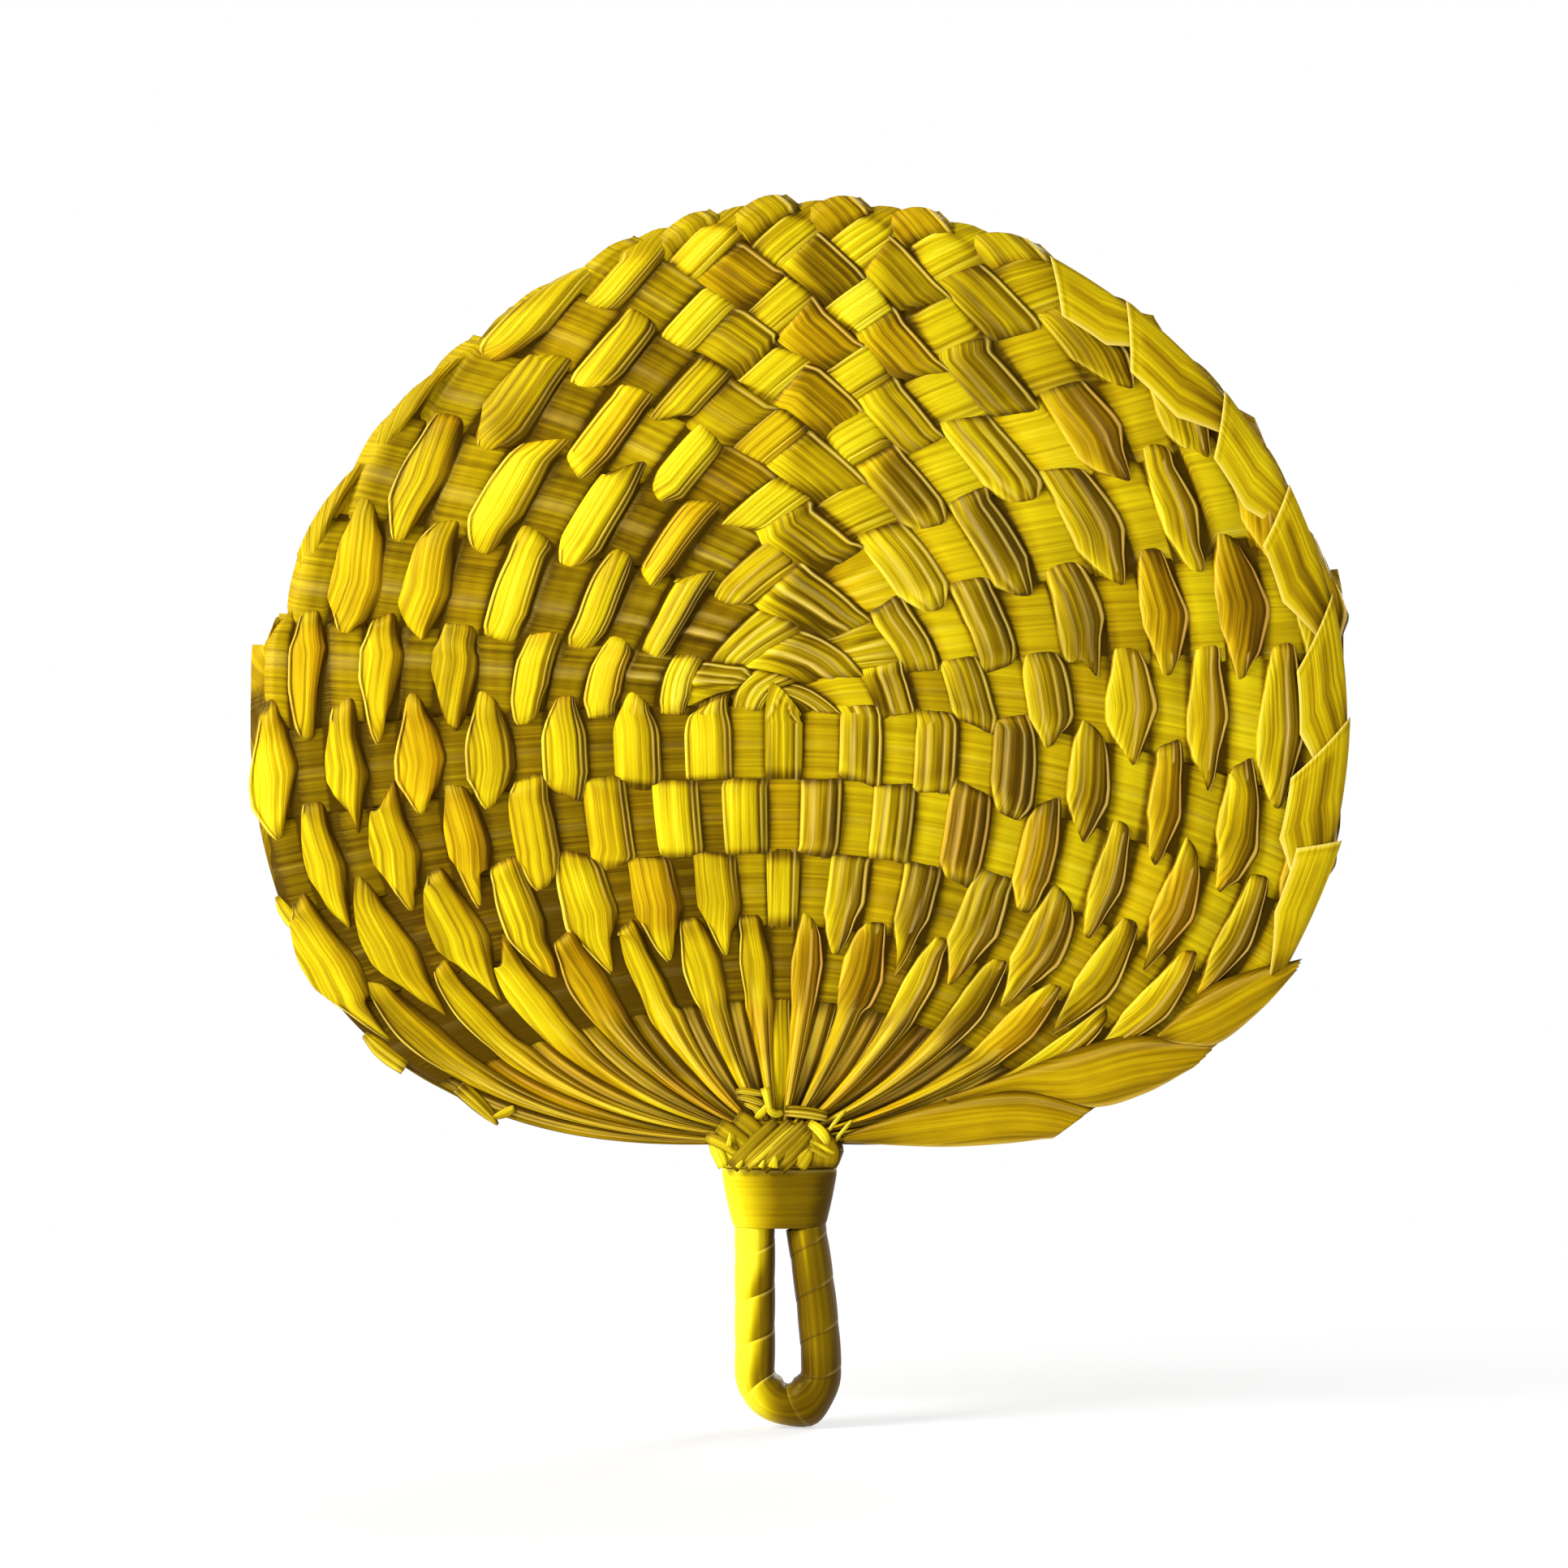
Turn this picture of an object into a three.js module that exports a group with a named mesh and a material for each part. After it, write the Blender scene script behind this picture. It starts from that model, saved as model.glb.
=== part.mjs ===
// Palm leaf fan: a leaf whose segments are plaited into a round blade, on a bound loop handle.
// Millimetres, +Z up, the face of the blade towards -Y. The origin is the middle of the collar.
import * as THREE from "three";

// Plait
const segmentsPerSide = 14;
const leftPitch = 11.4; // spacing of the left segments level with the start of the plait
const rightPitch = 12.1;
const leftRise = 19.8; // spacing of the left segments' crossings up the middle line
const rightRise = 21.8;
const leftTurned = 1; // segments that turn aside before the crossings climb
const rightTurned = 1.6;
const turnSoftness = 0.75;
const drawIn = 0.12; // the plait is drawn in towards the middle line by this share
const drawInRise = 25; // height over which the drawing in sets in
const drawInFrom = 50; // and the distances from the middle line between which it dies out
const drawInTo = 110;
const turnedRowStart = 1.3; // it starts in front of the first right segment
const plaitStart = 159; // height of the start of the plait above the collar's middle
const startSag = 6.3; // how far the first row hangs below the start
const startSagFade = 15;
const leafCover = 0.84; // share of its pitch that a strip covers
const leafThickness = 0.7;
const plaitLift = 0.75; // a strip passes this far before or behind the middle surface
const bladeBow = 5; // how far the sides of the blade bend back
const bladeBowHalfWidth = 170;

// Weft strips below the start of the plait
const weftCount = 4;
const firstWeftDrop = 17.4;
const weftPitch = 22.9;
const leftDroop = 9.6; // how far the first weft hangs at weftDroopReach from the middle line
const leftDroopGrowth = 1.62; // from one weft to the next
const rightDroop = 31;
const rightDroopGrowth = 1.4;
const weftDroopReach = 151;
const weftCover = 0.8;
const weftOverhang = 0.6; // weft beyond the outermost segment, as a share of a pitch

// Outline of the upper blade
const rimCentreX = 5.8;
const rimCentreAboveStart = -12.6;
const rimHalfWidthLeft = 170;
const rimHalfWidthRight = 170;
const rimHalfHeight = 162.9;
const rimPowerLeft = 1.75;
const rimPowerRight = 2;
const shoulderDrop = 68; // control height of the first segment's bend
const shoulderDropPerSegment = 5.2;

// Neck
const neckX = -1.2; // the neck stands a little to the left of the plait's middle line
const neckDomeHeight = 9;
const neckHalfDepth = 4;
const neckCorner = 3.6;
const neckFanAngle = THREE.MathUtils.degToRad(80);
const segmentRootDepth = 4; // a folded segment stands on edge where it leaves the neck
const middleTipDrop = 1.2; // the middle segment ends this far below the first row

// Edge bindings on the upper right rim and broad leaf ends on the lower right
const bindingCount = 7;
const bindingFirstAngle = THREE.MathUtils.degToRad(62);
const bindingStep = THREE.MathUtils.degToRad(11.7);
const bindingSpan = THREE.MathUtils.degToRad(16);
const bindingWidth = 17;
const bindingTipWidth = 3;
const bindingWidestAt = 0.65;
const bindingThickness = 0.8;
const bindingShingle = 1.4; // the start of a binding lies this much further forward than its end
const leafEndCount = 3;
const leafEndFirst = 0.06; // place along the outermost segment, from the neck
const leafEndSpan = 0.2;
const leafEndStep = 0.17;
const leafEndWidth = 14;
const leafEndTipWidth = 3.5;
const leafEndOverhang = 0.2; // share of a pitch past the middle of the outermost segment

// Collar, neck binding and ties
const seatGap = 0.3;
const collarHeight = 18.4;
const collarHalfWidthBottom = 14.4;
const collarHalfWidthTop = 18.2;
const collarHalfDepth = 7.6;
const collarWall = 1;
const collarCorner = 5;
const neckBindingHeight = 5.4;
const neckBindingFlare = 2;
const tieThickness = 0.8;
const plaitStripWidth = 4.6;
const plaitStripCount = 4;
const knotCentre = new THREE.Vector2(-5, 29.7);
const knotHeight = 9.6;
const knotWidth = 2.6;
const knotTailLength = 7.4;
const knotTailWidth = 5.8;
const knotTailRise = 1.6;
const crossTieStart = new THREE.Vector2(1.8, 27.2);
const crossTieEnd = new THREE.Vector2(13.6, 25.4);
const crossTieWidth = 3.6;
const sideTieStart = new THREE.Vector2(21.2, 26);
const sideTieEnd = new THREE.Vector2(14.4, 16.6);
const sideTieWidth = 2.2;

// Loop handle
const leftLegX = -8.8;
const bendRadius = 10.35;
const bendHeight = -54;
const rightLegLean = 5.9;
const rightLegLeanPower = 1.5;
const legTop = -3;
const coreRadius = 5.6;
const coreTipRadius = 4.4;
const coreTipLength = 9;
const wrapThickness = 0.9;
const wrapTurns = 9;
const wrapTipWidth = 2; // the strip is cut to a point at each end
const wrapGap = 1.3;
const leastWrapGap = 0.4;

// Heights and widths that follow from the sizes above
const collarBottom = -collarHeight / 2;
const collarTop = collarHeight / 2;
const neckBindingBottom = collarTop + seatGap;
const neckBindingTop = neckBindingBottom + neckBindingHeight;
const neckBindingHalfWidthTop = collarHalfWidthTop + neckBindingFlare;
const coreFit = collarWall + seatGap;
const neckHalfWidth = neckBindingHalfWidthTop - coreFit;
const neckDomeBase = neckBindingTop + seatGap;
const neckCentre = neckDomeBase - plaitStart; // from the start of the plait
const leftLegLength = legTop - bendHeight;
const rightLegSlope = (rightLegLeanPower * rightLegLean) / leftLegLength; // at its top
const coreBottom = legTop + coreTipRadius * rightLegSlope + seatGap;

const { smoothstep } = THREE.MathUtils;

const fan = new THREE.Group();
fan.name = "palm_leaf_fan";

const leafColour = 0xd9b800;
const bindingColour = 0xc9a410;
const collarColour = 0xb89500;
const wrapColour = 0xd2b70a;
const coreColour = 0x8a6a1c;

function addPiece(name, geometry, colour, roughness) {
  const material = new THREE.MeshStandardMaterial({ color: colour, roughness, metalness: 0 });
  const mesh = new THREE.Mesh(geometry, material);
  mesh.name = name;
  fan.add(mesh);
}

function signedVolume(points, triangles) {
  let volume = 0;
  for (let i = 0; i < triangles.length; i += 3) {
    const [a, b, c] = [points[triangles[i]], points[triangles[i + 1]], points[triangles[i + 2]]];
    volume += a.dot(new THREE.Vector3().crossVectors(b, c)) / 6;
  }
  return volume;
}

// Skins a row of rings that have the same number of points. A row that is not closed gets caps.
function loft(rings, closed = false) {
  const size = rings[0].length;
  const points = rings.flat();
  const triangles = [];
  const steps = closed ? rings.length : rings.length - 1;
  for (let i = 0; i < steps; i++) {
    const here = i * size;
    const next = ((i + 1) % rings.length) * size;
    for (let k = 0; k < size; k++) {
      const l = (k + 1) % size;
      triangles.push(here + k, next + k, next + l, here + k, next + l, here + l);
    }
  }
  if (!closed) {
    const last = (rings.length - 1) * size;
    for (let k = 1; k < size - 1; k++) {
      triangles.push(0, k, k + 1);
      triangles.push(last, last + k + 1, last + k);
    }
  }
  if (signedVolume(points, triangles) < 0) triangles.reverse();
  const geometry = new THREE.BufferGeometry().setFromPoints(points);
  geometry.setIndex(triangles);
  geometry.computeVertexNormals();
  return geometry;
}

// Height of a segment's crossing with the middle line, above the start of the plait.
function riseOf(side, u) {
  const past = u - (side < 0 ? leftTurned : rightTurned);
  return ((side < 0 ? leftRise : rightRise) / 2) * (past + Math.hypot(past, turnSoftness));
}

// Crossing of left segment u with right segment v. Each segment is a parabola that stands upright at
// its own side of the blade and leans over the middle line, so the crossing has a closed form.
function crossing(u, v) {
  const left = leftPitch * u;
  const right = rightPitch * v;
  const rise = riseOf(-1, u);
  const s = Math.sqrt((left + right) / (left + right * (rise / riseOf(1, v)) ** 2));
  const x = left * (s * s - 1);
  const y = rise * s;
  const near = 1 - smoothstep(Math.abs(x), drawInFrom, drawInTo);
  const drawn = drawIn * near * smoothstep(y, 0, drawInRise);
  return new THREE.Vector2(x * (1 - drawn), y - startSag * Math.exp(-y / startSagFade));
}

function neckPoint(side, u) {
  const angle = (u / (segmentsPerSide + 0.5)) * neckFanAngle;
  const x = neckX + side * (neckHalfWidth + seatGap) * Math.sin(angle);
  return new THREE.Vector2(x, neckCentre + (neckDomeHeight + seatGap) * Math.cos(angle));
}

// Lower part of a segment: a curve from the neck that turns upright at the start of the plait.
function spoke(side, u, t) {
  const x = side * u * (side < 0 ? leftPitch : rightPitch);
  const shoulder = new THREE.Vector2(x, -shoulderDrop - shoulderDropPerSegment * u);
  const top = new THREE.Vector2(x, -startSag);
  return new THREE.QuadraticBezierCurve(neckPoint(side, u), shoulder, top).getPoint(t);
}

function weftLine(w, x) {
  const droop = x < 0 ? leftDroop * leftDroopGrowth ** (w - 1) : rightDroop * rightDroopGrowth ** (w - 1);
  return -firstWeftDrop - weftPitch * (w - 1) - droop * (x / weftDroopReach) ** 2;
}

// Place along a segment, from 0 at the neck to 1, where it meets weft line w.
function weftPlace(side, u, w) {
  let low = 0;
  let high = 1;
  for (let i = 0; i < 40; i++) {
    const middle = (low + high) / 2;
    const p = spoke(side, u, middle);
    if (p.y < weftLine(w, p.x)) low = middle;
    else high = middle;
  }
  return (low + high) / 2;
}

function weftCrossing(side, u, w) {
  return spoke(side, u, weftPlace(side, u, w));
}

const firstCrossing = 1;
const joinBlend = 3; // the segment by which the first strips follow the joins of the other side

// Segment u of a side where it meets segment v of the other side.
function upperPoint(side, u, v) {
  return side < 0 ? crossing(u, v) : crossing(v, u);
}

// Between the first weft's upper edge and the first crossing a segment is a cubic. Row 1 is the first
// crossing. The first weft is row 0 on the left and row -1 on the right, where the turned middle segment
// makes row 0.
function joinPoint(side, u, row) {
  const startRow = side < 0 ? halfWeft : halfWeft - 1;
  const span = firstCrossing - startRow;
  const t = (row - startRow) / span;
  const start = weftCrossing(side, u, 1 - halfWeft);
  const end = upperPoint(side, u, firstCrossing);
  const leave = end.clone().sub(weftCrossing(side, u, 1)).multiplyScalar(span / (span + halfWeft));
  const arrive = upperPoint(side, u, firstCrossing + 1).sub(start).multiplyScalar(span / (span + 1));
  return start.multiplyScalar(2 * t ** 3 - 3 * t ** 2 + 1)
    .addScaledVector(leave, t ** 3 - 2 * t ** 2 + t)
    .addScaledVector(end, 3 * t ** 2 - 2 * t ** 3)
    .addScaledVector(arrive, t ** 3 - t ** 2);
}

// Place of a segment's line u at a row. The first segments' inner lines run along the other side's joins.
function rowPoint(side, u, row) {
  if (row < firstCrossing) return joinPoint(side, u, row);
  const point = upperPoint(side, u, row);
  if (u >= firstCrossing) return point;
  return point.lerp(joinPoint(-side, row, u), smoothstep(row, firstCrossing, joinBlend));
}

function insideRim(p) {
  const x = p.x - rimCentreX;
  const y = p.y - rimCentreAboveStart;
  const power = x < 0 ? rimPowerLeft : rimPowerRight;
  const halfWidth = x < 0 ? rimHalfWidthLeft : rimHalfWidthRight;
  return y < 0 || (Math.abs(x) / halfWidth) ** power + (y / rimHalfHeight) ** power < 1;
}

function bowDepth(x) {
  return bladeBow * (x / bladeBowHalfWidth) ** 2;
}

// Four corners of a flat strip's section, between its two edges, at a depth in front of the bowed surface.
function stripSection(edgeA, edgeB, level, thickness) {
  const corners = [];
  for (const [edge, half] of [[edgeA, -1], [edgeB, -1], [edgeB, 1], [edgeA, 1]]) {
    const depth = bowDepth(edge.x) + level + (half * thickness) / 2;
    corners.push(new THREE.Vector3(edge.x, depth, plaitStart + edge.y));
  }
  return corners;
}

const halfCover = leafCover / 2;
const halfWeft = weftCover / 2;
const rootSteps = 4;
const endStep = 0.05;

// Sections of a segment from the neck to the first row, over and under the wefts.
function lowerSections(side, u, innerEdge, outerEdge, isOverWeft) {
  const sections = [];
  const firstWeft = weftPlace(side, u, weftCount + halfWeft);
  for (let i = 0; i < rootSteps; i++) {
    const share = i / rootSteps;
    const thickness = leafThickness + (segmentRootDepth - leafThickness) * (1 - share) ** 2;
    sections.push(stripSection(innerEdge(share * firstWeft), outerEdge(share * firstWeft), 0, thickness));
  }
  for (let w = weftCount; w >= 1; w--) {
    const level = isOverWeft(w) ? -plaitLift : plaitLift;
    for (const line of [w + halfWeft, w - halfWeft]) {
      sections.push(stripSection(innerEdge(null, line), outerEdge(null, line), level, leafThickness));
    }
  }
  return sections;
}

// An edge of a lower segment, by place along it or by the weft line that it meets.
function spokeEdge(side, u) {
  return (t, w) => (t === null ? weftCrossing(side, u, w) : spoke(side, u, t));
}

// One segment: its lower part, then the plait, over and under the segments of the other side.
function segment(side, i) {
  const edges = [i - halfCover, i + halfCover];
  const [inner, outer] = edges.map((u) => spokeEdge(side, u));
  const sections = lowerSections(side, i, inner, outer, (w) => (i + w) % 2 === 1);
  let end = firstCrossing;
  while (insideRim(rowPoint(side, i, end + endStep))) end += endStep;
  const addSection = (row, level) => {
    const [a, b] = edges.map((u) => rowPoint(side, u, row));
    sections.push(stripSection(a, b, level, leafThickness));
  };
  const firstRow = side > 0 && i > firstCrossing ? 0 : firstCrossing;
  for (let j = firstRow; j - halfCover < end; j++) {
    const isOver = (i + j) % 2 === (side < 0 ? 0 : 1);
    const level = isOver ? -plaitLift : plaitLift;
    addSection(j - halfCover, level);
    addSection(Math.min(j + halfCover, end), level);
  }
  const lastCrossing = Math.floor(end + halfCover);
  if (end > lastCrossing + halfCover) addSection(end, 0);
  return loft(sections);
}

for (const side of [-1, 1]) {
  for (let i = 1; i <= segmentsPerSide; i++) {
    const name = `${side < 0 ? "left" : "right"}_segment_${String(i).padStart(2, "0")}`;
    addPiece(name, segment(side, i), leafColour, 0.45);
  }
}

function middleSegment() {
  const left = spokeEdge(-1, halfCover);
  const right = spokeEdge(1, halfCover);
  const sections = lowerSections(-1, halfCover, left, right, (w) => w % 2 === 1);
  const tip = new THREE.Vector2(0, -startSag - middleTipDrop);
  const [a, b] = [-leftPitch, rightPitch].map((pitch) => new THREE.Vector2(pitch * halfCover, tip.y));
  sections.push(stripSection(a, b, -plaitLift, leafThickness));
  return loft(sections);
}

addPiece("middle_segment", middleSegment(), leafColour, 0.45);

// The middle segment's turned end runs to the right rim as a row of its own, through the right segments.
function turnedSegment() {
  const sections = [];
  for (let i = firstCrossing + 1; i <= segmentsPerSide; i++) {
    const level = i % 2 === 0 ? -plaitLift : plaitLift;
    const from = i === firstCrossing + 1 ? turnedRowStart : i - halfCover;
    const to = i + (i === segmentsPerSide ? weftOverhang : halfCover);
    for (const u of [from, to]) {
      const [upper, lower] = [halfCover, -halfCover].map((row) => joinPoint(1, u, row));
      sections.push(stripSection(upper, lower, level, leafThickness));
    }
  }
  return loft(sections);
}

addPiece("middle_turn", turnedSegment(), leafColour, 0.45);

// A weft strip runs from the left rim to the right rim, over and under every segment.
function weft(w) {
  const sections = [];
  const addPair = (side, us, level) => {
    for (const u of us) {
      const upper = weftCrossing(side, u, w - halfWeft);
      const lower = weftCrossing(side, u, w + halfWeft);
      sections.push(stripSection(upper, lower, level, leafThickness));
    }
  };
  const lastReach = (i) => (i === segmentsPerSide ? weftOverhang : halfCover);
  for (let i = segmentsPerSide; i >= 1; i--) {
    addPair(-1, [i + lastReach(i), i - halfCover], (i + w) % 2 === 1 ? plaitLift : -plaitLift);
  }
  const middleLevel = w % 2 === 1 ? plaitLift : -plaitLift;
  addPair(-1, [halfCover], middleLevel);
  addPair(1, [halfCover], middleLevel);
  for (let i = 1; i <= segmentsPerSide; i++) {
    addPair(1, [i - halfCover, i + lastReach(i)], (i + w) % 2 === 1 ? plaitLift : -plaitLift);
  }
  return loft(sections);
}

for (let w = 1; w <= weftCount; w++) addPiece(`weft_${w}`, weft(w), leafColour, 0.5);

// A flat piece that lies on the front of the blade: its edges and levels at each step along it.
function frontPiece(steps, edgesAt, levelAt, thickness) {
  const sections = [];
  for (let i = 0; i <= steps; i++) {
    const [a, b] = edgesAt(i / steps);
    sections.push(stripSection(a, b, levelAt(i / steps), thickness));
  }
  return loft(sections);
}

const bindingSteps = 6;
const leafEndSteps = 6;
const bladeFront = -plaitLift - leafThickness / 2;
const frontLevel = bladeFront - seatGap - bindingThickness / 2;

function rimPoint(angle, inset) {
  const x = rimCentreX + (rimHalfWidthRight - inset) * Math.cos(angle);
  return new THREE.Vector2(x, rimCentreAboveStart + (rimHalfHeight - inset) * Math.sin(angle));
}

// Width of a turned-back tail: narrow at both tips and widest past its middle.
function bindingWidthAt(share) {
  const ramp = share < bindingWidestAt ? share / bindingWidestAt : (1 - share) / (1 - bindingWidestAt);
  return bindingTipWidth + (bindingWidth - bindingTipWidth) * ramp;
}

for (let k = 0; k < bindingCount; k++) {
  const edgesAt = (share) => {
    const angle = bindingFirstAngle - bindingStep * k - bindingSpan * share;
    return [rimPoint(angle, 0), rimPoint(angle, bindingWidthAt(share))];
  };
  const levelAt = (share) => frontLevel - bindingShingle * (1 - share);
  const geometry = frontPiece(bindingSteps, edgesAt, levelAt, bindingThickness);
  addPiece(`edge_binding_${k + 1}`, geometry, bindingColour, 0.4);
}

// A broad leaf end narrows to both tips and follows the lower rim, whose middle is halfway up the spokes.
const lowerMiddle = new THREE.Vector2(neckX, neckCentre / 2);
for (let k = 0; k < leafEndCount; k++) {
  const edgesAt = (share) => {
    const t = leafEndFirst + leafEndStep * k + leafEndSpan * share;
    const outer = spoke(1, segmentsPerSide + leafEndOverhang, t);
    const inward = lowerMiddle.clone().sub(outer).normalize();
    const width = leafEndTipWidth + (leafEndWidth - leafEndTipWidth) * Math.sin(Math.PI * share);
    return [outer, outer.clone().addScaledVector(inward, width)];
  };
  const levelAt = (share) => frontLevel - bindingShingle * (1 - share);
  const geometry = frontPiece(leafEndSteps, edgesAt, levelAt, bindingThickness);
  addPiece(`leaf_end_${k + 1}`, geometry, bindingColour, 0.45);
}

// A rounded rectangle in the XY plane.
function roundedSection(halfWidth, halfDepth, corner, z, offset) {
  const points = [];
  const cornerSteps = 4;
  for (const [sx, sy, turn] of [[1, 1, 0], [-1, 1, 1], [-1, -1, 2], [1, -1, 3]]) {
    for (let i = 0; i <= cornerSteps; i++) {
      const angle = (Math.PI / 2) * (turn + i / cornerSteps);
      const x = offset + sx * (halfWidth - corner) + corner * Math.cos(angle);
      points.push(new THREE.Vector3(x, sy * (halfDepth - corner) + corner * Math.sin(angle), z));
    }
  }
  return points;
}

// A tapered band with an open middle.
function band(bottom, top, halfWidthBottom, halfWidthTop, halfDepth) {
  const ring = (inset, z, halfWidth) =>
    roundedSection(halfWidth - inset, halfDepth - inset, collarCorner - inset, z, neckX);
  return loft([
    ring(0, bottom, halfWidthBottom),
    ring(0, top, halfWidthTop),
    ring(collarWall, top, halfWidthTop),
    ring(collarWall, bottom, halfWidthBottom),
  ], true);
}

addPiece(
  "collar_band",
  band(collarBottom, collarTop, collarHalfWidthBottom, collarHalfWidthTop, collarHalfDepth),
  collarColour,
  0.45,
);
addPiece(
  "neck_binding",
  band(
    neckBindingBottom,
    neckBindingTop,
    collarHalfWidthTop,
    neckBindingHalfWidthTop,
    collarHalfDepth,
  ),
  collarColour,
  0.5,
);

// The stalk inside the neck fills the collar and ends in the dome that carries the segments.
function neckCore() {
  const bottomWidth = THREE.MathUtils.mapLinear(
    coreBottom, collarBottom, collarTop, collarHalfWidthBottom, collarHalfWidthTop);
  const section = (halfWidth, z) => roundedSection(halfWidth, neckHalfDepth, neckCorner, z, neckX);
  const sections = [
    section(bottomWidth - coreFit, coreBottom),
    section(collarHalfWidthTop - coreFit, collarTop),
    section(collarHalfWidthTop - coreFit, neckBindingBottom),
    section(neckHalfWidth, neckBindingTop),
  ];
  const domeSteps = 6;
  for (let i = 0; i < domeSteps; i++) {
    const angle = (Math.PI / 2) * (i / domeSteps);
    const halfWidth = Math.max(neckHalfWidth * Math.cos(angle), neckCorner);
    sections.push(section(halfWidth, neckDomeBase + neckDomeHeight * Math.sin(angle)));
  }
  return loft(sections);
}

addPiece("neck_core", neckCore(), coreColour, 0.7);

// Route of the handle's middle: down the left leg, round the bend and up the leaning right leg.
const bendLength = Math.PI * bendRadius;
const handleLength = 2 * leftLegLength + bendLength;

function handlePoint(s) {
  if (s < leftLegLength) return new THREE.Vector3(leftLegX, 0, legTop - s);
  const middleX = leftLegX + bendRadius;
  if (s < leftLegLength + bendLength) {
    const angle = (s - leftLegLength) / bendRadius;
    const x = middleX - bendRadius * Math.cos(angle);
    return new THREE.Vector3(x, 0, bendHeight - bendRadius * Math.sin(angle));
  }
  const up = s - leftLegLength - bendLength;
  const lean = rightLegLean * Math.max(up / leftLegLength, 0) ** rightLegLeanPower;
  return new THREE.Vector3(middleX + bendRadius - lean, 0, bendHeight + up);
}

// A point beside the route, at a radius and an angle round it.
function besideHandle(s, radius, angle) {
  const probe = 0.05;
  const along = handlePoint(s + probe).sub(handlePoint(s - probe)).normalize();
  const across = new THREE.Vector3(-along.z, 0, along.x);
  const point = handlePoint(s).addScaledVector(across, radius * Math.cos(angle));
  point.y += radius * Math.sin(angle);
  return point;
}

function handleCore() {
  const rings = [];
  const steps = 36;
  const sides = 12;
  for (let i = 0; i <= steps; i++) {
    const s = (handleLength * i) / steps;
    const fromTip = Math.min(s, handleLength - s);
    const radius = fromTip < coreTipLength ? coreTipRadius : coreRadius;
    const ring = [];
    for (let k = 0; k < sides; k++) ring.push(besideHandle(s, radius, (2 * Math.PI * k) / sides));
    rings.push(ring);
  }
  return loft(rings);
}

addPiece("handle_core", handleCore(), coreColour, 0.7);

// One leaf strip wound round the loop from the collar to the collar. Its section has a row of points
// along the handle on the inner side and another on the outer side, so that it follows the bend. Its
// first and last turns are trimmed square to the handle, where they meet the collar.
const wrapInner = coreRadius + seatGap;
const wrapOuter = wrapInner + wrapThickness;
const wrapStart = legTop - collarBottom + seatGap;
const wrapEnd = handleLength - wrapStart - wrapOuter * rightLegSlope;
const wrapPitch = (wrapEnd - wrapStart + wrapGap) / wrapTurns;
const wrapStepsPerTurn = 24;
const wrapColumns = 5;

function wrapSection(step) {
  const turn = step / wrapStepsPerTurn;
  const angle = 2 * Math.PI * turn;
  const edge = wrapStart + wrapPitch * turn;
  const left = Math.max(edge - wrapPitch, wrapStart);
  const right = Math.min(edge - wrapGap, wrapEnd);
  if (right - left < wrapTipWidth) return null;
  const columnAt = (_, k) => left + ((right - left) * k) / (wrapColumns - 1);
  const columns = Array.from({ length: wrapColumns }, columnAt);
  const innerRow = columns.map((s) => besideHandle(s, wrapInner, angle));
  const outerRow = columns.map((s) => besideHandle(s, wrapOuter, angle)).reverse();
  return [...innerRow, ...outerRow];
}

const wrapSteps = Array.from({ length: (wrapTurns + 1) * wrapStepsPerTurn + 1 }, (_, i) => i);
const wrapSections = wrapSteps.map(wrapSection).filter((section) => section !== null);

// Least gap from one turn to the next, on the points of the facing edges.
function measureWrapGap() {
  let least = Infinity;
  for (let i = 0; i + wrapStepsPerTurn < wrapSections.length; i++) {
    const trailing = wrapSections[i].slice(wrapColumns - 1, wrapColumns + 1);
    const next = wrapSections[i + wrapStepsPerTurn];
    const leading = [next[0], next[next.length - 1]];
    for (const a of trailing) {
      for (const b of leading) least = Math.min(least, a.distanceTo(b));
    }
  }
  return least;
}

const wrapLeastGap = measureWrapGap();
console.log(`handle_wrap: least gap between turns ${wrapLeastGap.toFixed(2)} mm`);
if (wrapLeastGap <= leastWrapGap) throw new Error("the turns of the handle wrap touch");
addPiece("handle_wrap", loft(wrapSections), wrapColour, 0.35);

// Flat ties in front of the neck, each along a straight line with its own width and depth.
function tie(from, to, width, front) {
  const along = to.clone().sub(from).normalize();
  const across = new THREE.Vector2(-along.y, along.x).multiplyScalar(width / 2);
  const section = (p) => [
    [p.clone().add(across), front],
    [p.clone().sub(across), front],
    [p.clone().sub(across), front + tieThickness],
    [p.clone().add(across), front + tieThickness],
  ].map(([q, y]) => new THREE.Vector3(q.x, y, q.y));
  return loft([section(from), section(to)]);
}

// Slanted strips cross over the neck binding and the stalk. They lie side by side, a gap apart.
const plaitFront = -collarHalfDepth - seatGap - tieThickness;
const plaitBottom = neckBindingBottom;
const plaitTop = neckDomeBase + neckDomeHeight;
const plaitSlant = plaitTop - plaitBottom;
for (let k = 0; k < plaitStripCount; k++) {
  const x = -neckHalfWidth + plaitStripWidth + (plaitStripWidth * Math.SQRT2 + 2 * seatGap) * k;
  const from = new THREE.Vector2(x, plaitBottom + plaitStripWidth / 2);
  const to = new THREE.Vector2(x + plaitSlant - plaitStripWidth, plaitTop - plaitStripWidth / 2);
  addPiece(`neck_plait_${k + 1}`, tie(from, to, plaitStripWidth, plaitFront), bindingColour, 0.45);
}

// The knot and its ends lie on the roots of the segments, above the stalk.
const knotFront = -segmentRootDepth / 2 - seatGap - tieThickness;
const knotHalf = new THREE.Vector2(0, knotHeight / 2);
const knotTop = knotCentre.clone().add(knotHalf);
const knotBottom = knotCentre.clone().sub(knotHalf);
addPiece("neck_knot", tie(knotBottom, knotTop, knotWidth, knotFront), bindingColour, 0.4);

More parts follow.
